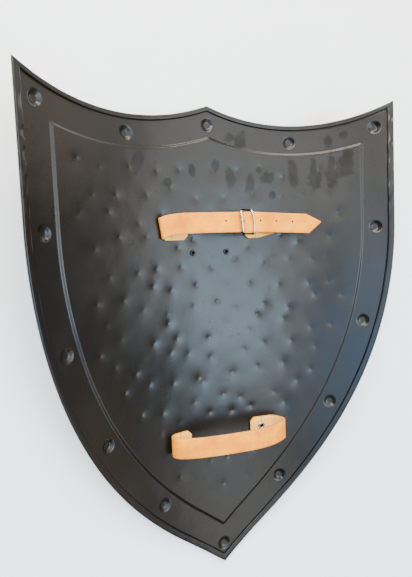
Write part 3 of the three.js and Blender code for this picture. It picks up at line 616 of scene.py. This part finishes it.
def billet_hole(u):
    """Centre and direction of a hole through the billet, in world metres."""
    rise = np.array(BILLET_RISE)
    w = float(np.interp(u, rise[:, 0], rise[:, 1]))
    slope = float(np.interp(u + MM, rise[:, 0], rise[:, 1])) - w
    v = arm_middle(u) + HOLE_SHIFT
    lean = math.atan2(slope, MM)
    centre = Vector(bend(u, v, w))
    above = Vector(bend(u - math.sin(lean) * MM, v, w + math.cos(lean) * MM))
    return centre, (above - centre).normalized()


def punch(obj, holes):
    """Cuts round holes, given as (centre, direction, radius), out of a strap."""
    cutter = bmesh.new()
    for centre, direction, radius in holes:
        turn = direction.to_track_quat("Z", "Y").to_matrix().to_4x4()
        bmesh.ops.create_cone(cutter, cap_ends=True, segments=20, radius1=radius, radius2=radius,
                              depth=4 * LEATHER, matrix=Matrix.Translation(centre) @ turn)
    for face in cutter.faces:
        # The cutter's faces become the holes' walls and take the fourth material, a near-black that
        # is painted shade inside the holes.
        face.material_index = HOLE_SIDE
    mesh = bpy.data.meshes.new("punch")
    cutter.to_mesh(mesh)
    cutter.free()
    tool = bpy.data.objects.new("punch", mesh)
    bpy.context.scene.collection.objects.link(tool)
    step = obj.modifiers.new("holes", "BOOLEAN")
    step.operation = "DIFFERENCE"
    step.object = tool
    step.solver = "EXACT"
    view = bpy.context.evaluated_depsgraph_get()
    cut_mesh = bpy.data.meshes.new_from_object(obj.evaluated_get(view))
    obj.modifiers.clear()
    obj.data = cut_mesh
    bpy.data.objects.remove(tool)


def billet():
    """The long strap: a riveted flap, a fold, the rise over the buckle and the point."""
    flap = [(-FLAP_INNER_U, SEAT), (-FOLD_U, SEAT)]
    centre_w = SEAT + FOLD_RADIUS
    fold = turn_points(-FOLD_U, centre_w, FOLD_RADIUS, -math.pi / 2, FOLD_END_TURN, 12)
    fold_start = FOLD_U - FLAP_INNER_U
    fold_end = fold_start - FOLD_RADIUS * (FOLD_END_TURN + math.pi / 2)

    def edges(u, s, total):
        top, low = billet_edges(u)
        if s < fold_end:
            top = low = float(flap_half(s))
        share = smooth(fold_start - FOLD_SHIFT_BEFORE, fold_start + FOLD_SHIFT_AFTER, s)
        middle = ARM_V + (arm_middle(u) - ARM_V) * share
        return middle + top, middle - low

    def slant(s, reach):
        before = smooth(fold_start - FOLD_SLANT_IN, fold_start, s)
        after = 1 - smooth(fold_end, fold_end + FOLD_SLANT_OUT, s)
        return -(FOLD_SLANT * reach + FOLD_SET_BACK) * before * after

    obj = strap("arm_billet_leather", flap + fold[1:] + BILLET_RISE, edges, 1.0, slant)
    holes = []
    for i in range(HOLE_COUNT):
        centre, direction = billet_hole(TONGUE_HOLE_U + (i - 1) * HOLE_PITCH)
        holes.append((centre, direction, TONGUE_HOLE_RADIUS if i == 1 else HOLE_RADIUS))
    punch(obj, holes)
    return obj


CHAPE_END_U = RIVET_SPAN / 2 + 24 * MM
CHAPE_RADIUS = 6 * MM
CHAPE_SLANT = 4 * MM
CHAPE_SLANT_FROM = RIVET_SPAN / 2 + 1 * MM
CHAPE_NARROWING = 10 * MM
CHAPE_WRAP_TURN = 1.45 * math.pi
CHAPE_FLAP_U = FLAP_INNER_U + 8 * MM
BUCKLE_V = arm_middle(HEEL_U) + BUCKLE_SHIFT
TONGUE_V = arm_middle(TONGUE_HOLE_U) + HOLE_SHIFT


def chape():
    """The short strap: a riveted flap, a fold and a turn round the buckle's heel bar."""
    wrap = WIRE / 2 + LEATHER_GAP + LEATHER / 2
    run = CHAPE_END_U - CHAPE_RADIUS
    climb = math.atan2(HEEL_W + wrap - SEAT - 2 * CHAPE_RADIUS, run - HEEL_U)
    flap = [(CHAPE_FLAP_U, SEAT), (run, SEAT)]
    level = math.pi / 2 - climb
    fold = turn_points(run, SEAT + CHAPE_RADIUS, CHAPE_RADIUS, -math.pi / 2, level, 12)
    over = turn_points(HEEL_U, HEEL_W, wrap, level, CHAPE_WRAP_TURN, 14)
    under = run - CHAPE_FLAP_U + CHAPE_RADIUS
    rise = BUCKLE_V - ARM_V

    def edges(u, s, total):
        share = min(max((s - under) / CHAPE_NARROWING, 0), 1)
        half = flap_half(s) + (CHAPE_HALF_WIDTH - STRAP_WIDTH / 2) * share
        slant = CHAPE_SLANT * smooth(CHAPE_SLANT_FROM, CHAPE_END_U, u)
        if s > under:
            slant += (rise - slant) * min(1, (CHAPE_END_U - u) / (CHAPE_END_U - HEEL_U))
        return ARM_V + slant + half, ARM_V + slant - half

    return strap("arm_chape_leather", flap + fold[1:] + over, edges, 2.0)


# The grip, with knots of (u, w) along its middle.
GRIP_CROWN = 47.2 * MM
GRIP_LEFT_U = RIVET_SPAN / 2 + 15.5 * MM
GRIP_RIGHT_U = RIVET_SPAN / 2 + 26.5 * MM
GRIP_FLAP_U = FLAP_INNER_U + 7 * MM
GRIP_KNOTS = [
    (-GRIP_LEFT_U + 9.5 * MM, SEAT),
    (-GRIP_LEFT_U + 3 * MM, SEAT + 2.8 * MM),
    (-GRIP_LEFT_U, GRIP_CROWN * 0.27),
    (-GRIP_LEFT_U + 6 * MM, GRIP_CROWN * 0.49),
    (-RIVET_SPAN / 2 + 14 * MM, GRIP_CROWN * 0.745),
    (-8 * MM, GRIP_CROWN * 0.945),
    (34 * MM, GRIP_CROWN),
    (RIVET_SPAN / 2 + 3 * MM, GRIP_CROWN * 0.875),
    (GRIP_RIGHT_U - 1.5 * MM, GRIP_CROWN * 0.57),
    (GRIP_RIGHT_U, GRIP_CROWN * 0.37),
    (GRIP_RIGHT_U - 9.5 * MM, SEAT + 1.4 * MM),
    (RIVET_SPAN / 2 + 8 * MM, SEAT),
]


def grip():
    """The grip band, from flap to flap over the hand's space."""
    crown = smooth_points(GRIP_KNOTS, 2 * MM)

    def edges(u, s, total):
        half = flap_half(min(s, total - s))
        return GRIP_V + half, GRIP_V - half

    path = [(-GRIP_FLAP_U, SEAT)] + crown + [(GRIP_FLAP_U, SEAT)]
    return strap("grip_leather", path, edges, 3.0)


WIRE_SIDES = 20
WIRE_END = 0.55


def wire(name, points, diameter, closed=False):
    """A round wire along world points with eased ends. A list gives each point its diameter."""
    sides = WIRE_SIDES
    points = [Vector(p) for p in points]
    count = len(points)
    tangents = []
    for i in range(count):
        before = points[(i - 1) % count] if closed else points[max(i - 1, 0)]
        after = points[(i + 1) % count] if closed else points[min(i + 1, count - 1)]
        tangents.append((after - before).normalized())
    side = Vector((0.3, 0.2, 1)).cross(tangents[0]).normalized()
    verts = []
    for i, (point, tangent) in enumerate(zip(points, tangents)):
        side = (side - tangent * side.dot(tangent)).normalized()
        other = tangent.cross(side)
        reach = (diameter[i] if isinstance(diameter, list) else diameter) / 2
        if not closed and i in (0, count - 1):
            reach *= WIRE_END
        for k in range(sides):
            turn = 2 * math.pi * k / sides
            verts.append(point + side * reach * math.cos(turn) + other * reach * math.sin(turn))
    faces = []
    for i in range(count if closed else count - 1):
        j = (i + 1) % count
        shift = 0
        if closed and j == 0:
            gaps = [(verts[k] - verts[i * sides]).length for k in range(sides)]
            shift = gaps.index(min(gaps))
        for k in range(sides):
            a, b = i * sides + k, i * sides + (k + 1) % sides
            c, d = j * sides + (k + 1 + shift) % sides, j * sides + (k + shift) % sides
            faces.append((a, b, c, d))
    if not closed:
        faces += [tuple(range(sides))[::-1], tuple(range((count - 1) * sides, count * sides))]
    return make_object(name, verts, faces)


BUCKLE_CORNER = 2.6 * MM
TAPER_START = 4 * MM
TAPER_END = 0.5 * MM
SHADED_SIDE = 1.6 * MM


def buckle_frame():
    """The buckle's closed wire frame, thick along its bars and thin at its shaded sides, whose
    faces take a near-black material as painted shade.
    """
    half = BUCKLE_WIDTH / 2 - WIRE / 2
    run = math.hypot(BAR_U - HEEL_U, BAR_W - HEEL_W)
    corner = BUCKLE_CORNER
    points = []
    for i, (s, v) in enumerate([(0, -half), (run, -half), (run, half), (0, half)]):
        cs = s + (-corner if s > 0 else corner)
        cv = v + (-corner if v > 0 else corner)
        for k in range(9):
            turn = math.pi + i * math.pi / 2 + k * math.pi / 16
            points.append((cs + corner * math.cos(turn), cv + corner * math.sin(turn)))
    placed = [bend(HEEL_U + (BAR_U - HEEL_U - BUCKLE_LEAN * v) * s / run, BUCKLE_V + v,
                   HEEL_W + (BAR_W - HEEL_W) * s / run) for s, v in points]
    sizes = []
    for s, v in points:
        end = smooth(half - TAPER_START, half - TAPER_END, abs(v))
        sizes.append(float(BAR_WIRE + (SIDE_WIRE - BAR_WIRE) * end))
    obj = wire("buckle_frame_wire", placed, sizes, closed=True)
    middle_y = BUCKLE_V - LENGTH / 2
    for face in obj.data.polygons:
        # Faces near each side take the second material: painted shade on the side wires where the
        # strap shades them.
        face.material_index = int(abs(face.center.y - middle_y) > half - SHADED_SIDE)
    return obj


def buckle_tongue():
    """The tongue: hooked round the heel bar, up through its hole and over the front bar."""
    clear = WIRE / 2 + BUCKLE_GAP + TONGUE_WIRE / 2
    below = BILLET_W - LEATHER / 2
    hook = turn_points(HEEL_U, HEEL_W, clear, -0.45 * math.pi, -1.35 * math.pi, 14)
    shaft = [(TONGUE_HOLE_U + TONGUE_WIRE * 1.4, below - TONGUE_WIRE * 1.7),
             (TONGUE_HOLE_U, below - 0.2 * MM), (TONGUE_HOLE_U, BAR_W + 0.6 * MM)]
    over = turn_points(BAR_U, BAR_W, clear, 0.2 * math.pi, 0.55 * math.pi, 8)
    tip = [(BAR_U - 4 * MM, BAR_W + clear - 0.9 * MM)]
    points = smooth_points(hook + shaft + over + tip, 0.6 * MM)
    return wire("buckle_tongue_wire", [bend(u, TONGUE_V, w) for u, w in points], TONGUE_WIRE)


KEEPER_RISE = 0.7 * MM
KEEPER_FOOT = 1.3 * MM
KEEPER_FOOT_U = HEEL_U - 1.5 * MM
KEEPER_U = HEEL_U - 5.5 * MM
KEEPER_BOW = 2.2 * MM
KEEPER_DROP = 0.5 * MM
KEEPER_STEPS = 16


def keeper():
    """The wire loop over the billet, beside the buckle's front bar."""
    top = BILLET_W + LEATHER / 2 + BUCKLE_GAP + KEEPER_WIRE / 2 + KEEPER_RISE
    half = STRAP_WIDTH / 2 + BUCKLE_GAP + KEEPER_WIRE / 2
    foot = HEEL_W + WIRE / 2 + KEEPER_WIRE / 2 + KEEPER_FOOT
    points = [(KEEPER_FOOT_U, -half, foot)]
    for i in range(KEEPER_STEPS + 1):
        share = 2 * i / KEEPER_STEPS - 1
        bow = KEEPER_BOW * (1 - share ** 2) - BUCKLE_LEAN * share * half
        points.append((KEEPER_U + bow, share * half, top - KEEPER_DROP * share ** 4))
    points.append((KEEPER_FOOT_U, half, foot))
    middle = arm_middle(HEEL_U)
    placed = [bend(u, middle + v, w) for u, v, w in points]
    return wire("strap_keeper_wire", placed, KEEPER_WIRE)


RIVET_STEPS = 40
RIVET_ROUND = 0.02
HEAD_GAP = 0.3 * MM
# A rivet's head in millimetres as (radius, height), from its middle out to the shank.
RIVET_HEAD = [(0, -1.5), (2.2, -1.45), (4.2, -1.0), (5.3, -0.45), (5.6, 0), (2.3, 0.05)]
SHANK = 2.3 * MM
SEAT_GAP = 0.05 * MM
ROLL_HEIGHT = 1.5 * MM
BORE_FLOOR = [(0.95, 0.15 * MM), (0, 0.1 * MM)]
BORE_RINGS = 4
STRAP_CLINCH, STRAP_BORE = 5 * MM, 2 * MM
SMALL_CLINCH, SMALL_BORE = 4 * MM, 1.6 * MM


def rivet(name, place, seat_height, clinch, bore):
    """A tubular rivet: domed head under the sheet, rolled ring and hollow on the back."""
    u, v = place
    head = FIELD_RISE - SHEET - HEAD_GAP
    seat = seat_height + SEAT_GAP
    profile = [(r * MM, head + z * MM) for r, z in RIVET_HEAD] + [(SHANK, seat)]
    roll = (clinch - bore) / 2
    for k in range(9):
        turn = math.pi * k / 8
        profile.append((bore + roll + roll * math.cos(turn), seat + ROLL_HEIGHT * math.sin(turn)))
    profile += [(bore * share, seat + z) for share, z in BORE_FLOOR]
    steps = RIVET_STEPS
    verts, faces, kinds = [], [], []
    for r, z in profile:
        for k in range(steps):
            turn = 2 * math.pi * k / steps
            wobble = RIVET_ROUND * math.sin(3 * turn + u / MM) if r > bore * 1.05 else 0
            reach = r * (1 + wobble)
            verts.append((reach * math.cos(turn), reach * math.sin(turn), z))
    for i in range(len(profile) - 1):
        for k in range(steps):
            a, b = i * steps + k, i * steps + (k + 1) % steps
            faces.append((a, b, b + steps, a + steps))
            # The faces inside the rolled ring and the bore's floor take the second material, a
            # near-black that paints the shade in the hollow.
            kinds.append(int(i >= len(profile) - BORE_RINGS))
    lean = Matrix.Rotation(-u / BEND_RADIUS, 4, "Y")
    origin = Vector(bend(u, v, 0.0))
    verts = [origin + lean @ Vector(p) for p in verts]
    obj = make_object(name, verts, faces, kinds)
    merge = bmesh.new()
    merge.from_mesh(obj.data)
    bmesh.ops.remove_doubles(merge, verts=merge.verts, dist=1e-7)
    bmesh.ops.recalc_face_normals(merge, faces=merge.faces)
    merge.to_mesh(obj.data)
    merge.free()
    return obj


class Nodes:
    """Short helpers over one material's node tree."""

    def __init__(self, name):
        self.material = bpy.data.materials.new(name)
        self.material.use_nodes = True
        self.tree = self.material.node_tree
        self.tree.nodes.clear()
        self.out = self.tree.nodes.new("ShaderNodeOutputMaterial")
        self.shader = self.tree.nodes.new("ShaderNodeBsdfPrincipled")
        self.link(self.shader.outputs[0], self.out.inputs["Surface"])
        self.place = self.tree.nodes.new("ShaderNodeTexCoord").outputs["Object"]

    def link(self, a, b):
        self.tree.links.new(a, b)

    def set(self, **values):
        for key, value in values.items():
            self.shader.inputs[key.replace("_", " ")].default_value = value

    def noise(self, scale, detail, rough=0.55, vector=None):
        node = self.tree.nodes.new("ShaderNodeTexNoise")
        node.inputs["Scale"].default_value = scale
        node.inputs["Detail"].default_value = detail
        node.inputs["Roughness"].default_value = rough
        self.link(vector or self.place, node.inputs["Vector"])
        return node.outputs["Fac"]

    def stretched(self, x, y, z):
        node = self.tree.nodes.new("ShaderNodeMapping")
        node.inputs["Scale"].default_value = (x, y, z)
        self.link(self.place, node.inputs["Vector"])
        return node.outputs["Vector"]

    def axis(self, name):
        node = self.tree.nodes.new("ShaderNodeSeparateXYZ")
        self.link(self.place, node.inputs[0])
        return node.outputs[name]

    def voronoi(self, scale):
        node = self.tree.nodes.new("ShaderNodeTexVoronoi")
        node.inputs["Scale"].default_value = scale
        self.link(self.place, node.inputs["Vector"])
        return node.outputs["Distance"]

    def remap(self, value, low, high, to_low=0.0, to_high=1.0):
        node = self.tree.nodes.new("ShaderNodeMapRange")
        node.inputs["From Min"].default_value = low
        node.inputs["From Max"].default_value = high
        node.inputs["To Min"].default_value = to_low
        node.inputs["To Max"].default_value = to_high
        self.link(value, node.inputs["Value"])
        return node.outputs["Result"]

    def math(self, operation, a, b=0):
        node = self.tree.nodes.new("ShaderNodeMath")
        node.operation = operation
        for socket, value in zip(node.inputs, (a, b)):
            if isinstance(value, (int, float)):
                socket.default_value = value
            else:
                self.link(value, socket)
        return node.outputs["Value"]

    def mix(self, factor, a, b):
        node = self.tree.nodes.new("ShaderNodeMix")
        node.data_type = "RGBA"
        for socket, value in ((node.inputs[0], factor), (node.inputs[6], a), (node.inputs[7], b)):
            if isinstance(value, (int, float)):
                socket.default_value = value
            elif isinstance(value, tuple):
                socket.default_value = (*value, 1)
            else:
                self.link(value, socket)
        return node.outputs[2]

    def bump(self, height, distance, strength=0.5, before=None):
        node = self.tree.nodes.new("ShaderNodeBump")
        node.inputs["Distance"].default_value = distance
        node.inputs["Strength"].default_value = strength
        self.link(height, node.inputs["Height"])
        if before is not None:
            self.link(before, node.inputs["Normal"])
        return node.outputs["Normal"]

    def colour(self, value):
        self.link(value, self.shader.inputs["Base Color"])

    def rough(self, value):
        self.link(value, self.shader.inputs["Roughness"])

    def normal(self, value):
        self.link(value, self.shader.inputs["Normal"])


# The black paint, with dull marks given as u, v, length, width in millimetres and a lean in
# radians.
PAINT_DARK = (0.005, 0.0046, 0.0042)
PAINT_LIGHT = (0.007, 0.0064, 0.006)
PAINT_DULL = (0.009, 0.0085, 0.0065)
PAINT_DUST = (0.2, 0.2, 0.2)
PAINT_GLOSS = 0.32
PAINT_ROUGHNESS = (0.25, 0.33)
MARK_GLOSS = 0.5 * PAINT_GLOSS
MARK_ROUGHNESS = 0.1
MARK_COLOUR = 0.6
DUST_COLOUR = 0.25
PAINT_SAG_DEPTH = 0.6 * MM
PAINT_GRAIN_DEPTH = 0.06 * MM
SMUDGES = [
    (-101, 530, 34, 17, -0.5), (-61, 509, 14, 14, 0.4), (-25, 526, 17, 11, 0), (9, 532, 16, 12, 0),
    (29, 516, 30, 15, 0.15), (56, 509, 31, 14, -0.15), (81, 518, 15, 20, 0.2), (69, 528, 9, 7, 0),
    (87, 494, 11, 11, 0), (117, 522, 44, 14, 0.12), (145, 524, 38, 10, 0), (146, 512, 28, 20, 0),
    (169, 532, 34, 10, 0), (170, 516, 28, 18, 0), (189, 533, 40, 18, -0.1), (167, 565, 19, 11, 0.2),
    (188, 571, 13, 12, 0), (45, 566, 24, 18, 0), (30, 569, 12, 16, 0),
]
SMUDGE_REACH = 0.64
SMUDGE_DEPTH = 50 * MM
SMUDGE_RAGGED = 0.65


def patch(nodes, u, v, length, width, lean):
    """A ragged oval patch on the sheet, as a factor from 0 to 1, round a flat place."""
    centre = Vector(bend(u, v, 0.0))
    shift = nodes.tree.nodes.new("ShaderNodeMapping")
    shift.vector_type = "TEXTURE"
    shift.inputs["Location"].default_value = centre
    shift.inputs["Rotation"].default_value = (0, 0, lean)
    size = (SMUDGE_REACH * width, SMUDGE_REACH * length, SMUDGE_DEPTH)
    shift.inputs["Scale"].default_value = size
    nodes.link(nodes.place, shift.inputs["Vector"])
    ball = nodes.tree.nodes.new("ShaderNodeTexGradient")
    ball.gradient_type = "SPHERICAL"
    nodes.link(shift.outputs["Vector"], ball.inputs["Vector"])
    edge = nodes.remap(nodes.noise(105, 4), 0, 1, -SMUDGE_RAGGED, SMUDGE_RAGGED)
    return nodes.remap(nodes.math("ADD", ball.outputs["Fac"], edge), 0.17, 0.45)


def black_paint():
    """Satin black paint over hammered steel, with dull handling marks near the top."""
    nodes = Nodes("black_paint_satin")
    cloud = nodes.noise(9, 3)
    fine = nodes.noise(420, 4)
    speck = nodes.voronoi(260)
    colour = nodes.mix(nodes.remap(cloud, 0.35, 0.7), PAINT_DARK, PAINT_LIGHT)
    marks = None
    for u, v, length, width, lean in SMUDGES:
        value = patch(nodes, u * MM, v * MM, length * MM, width * MM, lean)
        marks = value if marks is None else nodes.math("MAXIMUM", marks, value)
    marks = nodes.math("MULTIPLY", marks, nodes.remap(nodes.noise(48, 3), 0.36, 0.62, 0.6, 1.0))
    colour = nodes.mix(nodes.math("MULTIPLY", marks, MARK_COLOUR), colour, PAINT_DULL)
    nodes.link(nodes.remap(marks, 0, 1, PAINT_GLOSS, MARK_GLOSS),
               nodes.shader.inputs["Specular IOR Level"])
    dust = nodes.remap(speck, 0.02, 0.05, 1, 0)
    nodes.colour(nodes.mix(nodes.math("MULTIPLY", dust, DUST_COLOUR), colour, PAINT_DUST))
    rough = nodes.remap(cloud, 0.3, 0.7, *PAINT_ROUGHNESS)
    nodes.rough(nodes.math("ADD", rough, nodes.remap(marks, 0, 1, 0, MARK_ROUGHNESS)))
    soft = nodes.bump(nodes.noise(38, 2), PAINT_SAG_DEPTH)
    nodes.normal(nodes.bump(fine, PAINT_GRAIN_DEPTH, 0.6, soft))
    return nodes.material


LEATHER_SPECK = (0.94, 0.5, 0.1)
LEATHER_PEN = (0.09, 0.06, 0.05)
LEATHER_GLOSS = 0.06
PORE_DEPTH = 0.12 * MM
FIBRE_DEPTH = 0.18 * MM
PEN_FADE = 0.2 * MM
PEN_HALF_WIDTH = (0.25 * MM, 0.45 * MM)


def pen_line(nodes):
    """The marking-out lines across the riveted flaps, level with the rivets."""
    line_x = (BEND_RADIUS - SEAT) * math.sin(RIVET_SPAN / 2 / BEND_RADIUS)
    flap_z = float(bend(RIVET_SPAN / 2, 0, SEAT + LEATHER)[2])
    across = nodes.math("ABSOLUTE", nodes.axis("X"))
    off = nodes.math("ABSOLUTE", nodes.math("SUBTRACT", across, line_x))
    worn = nodes.remap(nodes.noise(300, 2), 0.35, 0.55, 0.3, 0.9)
    low = nodes.remap(nodes.axis("Z"), flap_z, flap_z + PEN_FADE, 1, 0)
    thin = nodes.remap(off, *PEN_HALF_WIDTH, 1, 0)
    return nodes.math("MULTIPLY", nodes.math("MULTIPLY", thin, low), worn)


def leather(name, light, dark, grain, roughness):
    """Vegetable tanned leather: cloudy colour, stretched streaks, pores and fibre."""
    nodes = Nodes(name)
    cloud = nodes.noise(36, 6, 0.62)
    fibre = nodes.noise(380, 5, 0.6)
    pores = nodes.voronoi(900)
    colour = nodes.mix(nodes.remap(cloud, 0.35, 0.68), light, dark)
    streak = nodes.noise(60, 5, 0.6, nodes.stretched(0.4, 3.0, 1.0))
    colour = nodes.mix(nodes.remap(streak, 0.45, 0.75, 0, 0.5), colour, dark)
    speck = nodes.remap(nodes.noise(230, 2), 0.68, 0.74, 0, 0.5)
    colour = nodes.mix(speck, colour, LEATHER_SPECK)
    nodes.colour(nodes.mix(pen_line(nodes), colour, LEATHER_PEN))
    nodes.rough(nodes.remap(fibre, 0.3, 0.7, roughness - 0.07, roughness + 0.07))
    first = nodes.bump(pores, PORE_DEPTH * grain)
    nodes.normal(nodes.bump(fibre, FIBRE_DEPTH * grain, before=first))
    nodes.set(Specular_IOR_Level=LEATHER_GLOSS)
    return nodes.material


NICKEL_WORN = 0.86
NICKEL_GRAIN_DEPTH = 0.03 * MM


def nickel(name, tint, roughness):
    """Nickel plate, a little cloudy and finely scratched."""
    nodes = Nodes(name)
    worn = tuple(NICKEL_WORN * c for c in tint)
    nodes.colour(nodes.mix(nodes.remap(nodes.noise(160, 3), 0.4, 0.7), tint, worn))
    nodes.rough(nodes.remap(nodes.noise(700, 3), 0.3, 0.7, roughness - 0.05, roughness + 0.08))
    nodes.normal(nodes.bump(nodes.noise(900, 2), NICKEL_GRAIN_DEPTH))
    nodes.set(Metallic=1.0)
    return nodes.material


FLOOR_REACH = 6
FLOOR_DARK = (0.9, 0.9, 0.9)
FLOOR_LIGHT = (0.92, 0.92, 0.92)


def floor_material():
    nodes = Nodes("pale_floor")
    nodes.colour(nodes.mix(nodes.remap(nodes.noise(6, 2), 0.3, 0.7), FLOOR_DARK, FLOOR_LIGHT))
    nodes.set(Roughness=0.9, Specular_IOR_Level=0.1)
    return nodes.material


def dress(obj, materials, slot, *replaced):
    """Gives a piece its materials and its body, and hides the nodes that it stands for. The slot
    argument is not used.
    """
    for material in materials:
        obj.data.materials.append(material)
    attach(obj, "root")
    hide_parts(*replaced)


def floor():
    verts = [(x * FLOOR_REACH, y * FLOOR_REACH, 0) for x, y in ((-1, -1), (1, -1), (1, 1), (-1, 1))]
    obj = make_object("floor", verts, [(0, 1, 2, 3)])
    obj.data.materials.append(floor_material())


NEUTRAL = (1.0, 0.99, 0.95)
LIGHT_TARGET = Vector((0, 0, 0.03))
CEILING_PLACE = Vector((0.65, 0.4, 1.9))
# Each further light as name, azimuth, elevation, distance, size, power and colour.
SIDE_LIGHTS = [
    ("ceiling_left", 150, 66, 1.9, (0.9, 0.9), 8, NEUTRAL),
    ("low_side", -66, 51, 2.1, (1.3, 0.8), 11, NEUTRAL),
    ("warm_low", -36, 25, 2.3, (1.2, 0.7), 2.5, (1.0, 0.7, 0.4)),
    ("warm_wall", 30, 22, 2.4, (1.3, 0.8), 9, (1.0, 0.82, 0.62)),
    ("window", -14, 68, 1.9, (0.9, 0.9), 27, (0.4, 0.72, 1.0)),
    ("blue_fill", -145, 62, 1.9, (1.1, 1.1), 25, (0.3, 0.6, 1.0)),
    ("key", 140, 40, 2.4, (0.8, 0.8), 55, (1.0, 0.95, 0.88)),
    ("top_side", 98, 29, 2.4, (3.0, 1.0), 170, (1.0, 0.94, 0.84)),
]
WORLD_COLOUR = (1.0, 0.74, 0.5, 1)
WORLD_STRENGTH = 0.21


def area_light(name, place, size, power, colour):
    data = bpy.data.lights.new(name, "AREA")
    data.shape = "RECTANGLE"
    data.size, data.size_y = size
    data.energy = power
    data.color = colour
    obj = bpy.data.objects.new(name, data)
    obj.location = place
    obj.rotation_euler = (LIGHT_TARGET - place).to_track_quat("-Z", "Y").to_euler()
    bpy.context.scene.collection.objects.link(obj)


def lights():
    area_light("ceiling", CEILING_PLACE, (2.0, 2.0), 60, NEUTRAL)
    for name, azimuth, elevation, distance, size, power, colour in SIDE_LIGHTS:
        a, e = math.radians(azimuth), math.radians(elevation)
        aim = Vector((math.cos(a) * math.cos(e), math.sin(a) * math.cos(e), math.sin(e)))
        area_light(name, LIGHT_TARGET + distance * aim, size, power, colour)
    world = bpy.data.worlds.new("studio")
    world.use_nodes = True
    world.node_tree.nodes["Background"].inputs["Color"].default_value = WORLD_COLOUR
    world.node_tree.nodes["Background"].inputs["Strength"].default_value = WORLD_STRENGTH
    bpy.context.scene.world = world


# The photo's camera, fitted to the shield's outline. Its axes are straightened below.
CAMERA_PLACE = Vector((-0.2599, 0.4217 - LENGTH / 2, 0.562 + LIFT))
CAMERA_AHEAD = Vector((0.4036, -0.0761, -0.9118))
CAMERA_TOP = Vector((0.0694, 0.9962, -0.0524))
FOCAL_PIXELS = 474.0
FRAME_HEIGHT = 577
SENSOR_HEIGHT = 24


def camera():
    data = bpy.data.cameras.new("camera")
    data.sensor_fit = "VERTICAL"
    data.sensor_height = SENSOR_HEIGHT
    data.lens = FOCAL_PIXELS / FRAME_HEIGHT * SENSOR_HEIGHT
    data.clip_start = 0.01
    obj = bpy.data.objects.new("camera", data)
    right = CAMERA_AHEAD.cross(CAMERA_TOP).normalized()
    top = right.cross(CAMERA_AHEAD).normalized()
    turn = Matrix((right, top, -CAMERA_AHEAD.normalized())).transposed().to_4x4()
    obj.matrix_world = Matrix.Translation(CAMERA_PLACE) @ turn
    bpy.context.scene.collection.objects.link(obj)
    bpy.context.scene.camera = obj


camera()
paint = black_paint()
grain = leather("tan_leather_grain", (0.97, 0.34, 0.004), (0.66, 0.18, 0.003), 1.0, 0.55)
flesh = leather("tan_leather_flesh", (0.98, 0.52, 0.12), (0.9, 0.43, 0.08), 2.0, 0.8)
cut = leather("tan_leather_edge", (0.62, 0.29, 0.06), (0.44, 0.18, 0.035), 1.6, 0.7)
# Near-black leather for the walls of the billet's holes: painted shade inside them, not the
# leather's own colour.
hole = leather("tan_leather_hole_painted_shade", (0.018, 0.007, 0.003), (0.012, 0.005, 0.002), 1.0, 0.8)
bright = nickel("nickel_wire", (0.6, 0.55, 0.48), 0.1)
dull = nickel("nickel_rivet", (0.45, 0.44, 0.43), 0.3)
# Near-black nickel for the frame's side wires: painted shade, not a different finish from the bars.
wire_painted_shade = nickel("nickel_wire_painted_shade", (0.022, 0.016, 0.012), 0.35)
# Near-black for the rivets' bores: painted shade in the hollow, used on both the nickel and the
# painted rivets.
bore_painted_shade = nickel("nickel_bore_painted_shade", (0.005, 0.0045, 0.004), 0.6)

dress(plate(), [paint], "black_paint", "shield_plate")
dress(billet(), [grain, flesh, cut, hole], "tan_leather", "arm_strap_billet")
dress(chape(), [flesh, grain, cut], "tan_leather", "arm_strap_chape")
dress(grip(), [grain, flesh, cut], "tan_leather", "grip_strap")
dress(buckle_frame(), [bright, wire_painted_shade], "nickel", "buckle_frame")
dress(buckle_tongue(), [bright], "nickel", "buckle_tongue")
dress(keeper(), [bright], "nickel", "strap_keeper")
for node_name, spot in STRAP_RIVETS.items():
    piece = rivet(node_name + "_body", spot, SEAT + LEATHER / 2, STRAP_CLINCH, STRAP_BORE)
    dress(piece, [dull, bore_painted_shade], "nickel", node_name)
for node_name, spot in SMALL_RIVETS.items():
    piece = rivet(node_name + "_body", spot, FIELD_RISE, SMALL_CLINCH, SMALL_BORE)
    dress(piece, [paint, bore_painted_shade], "black_paint", node_name)
floor()
lights()
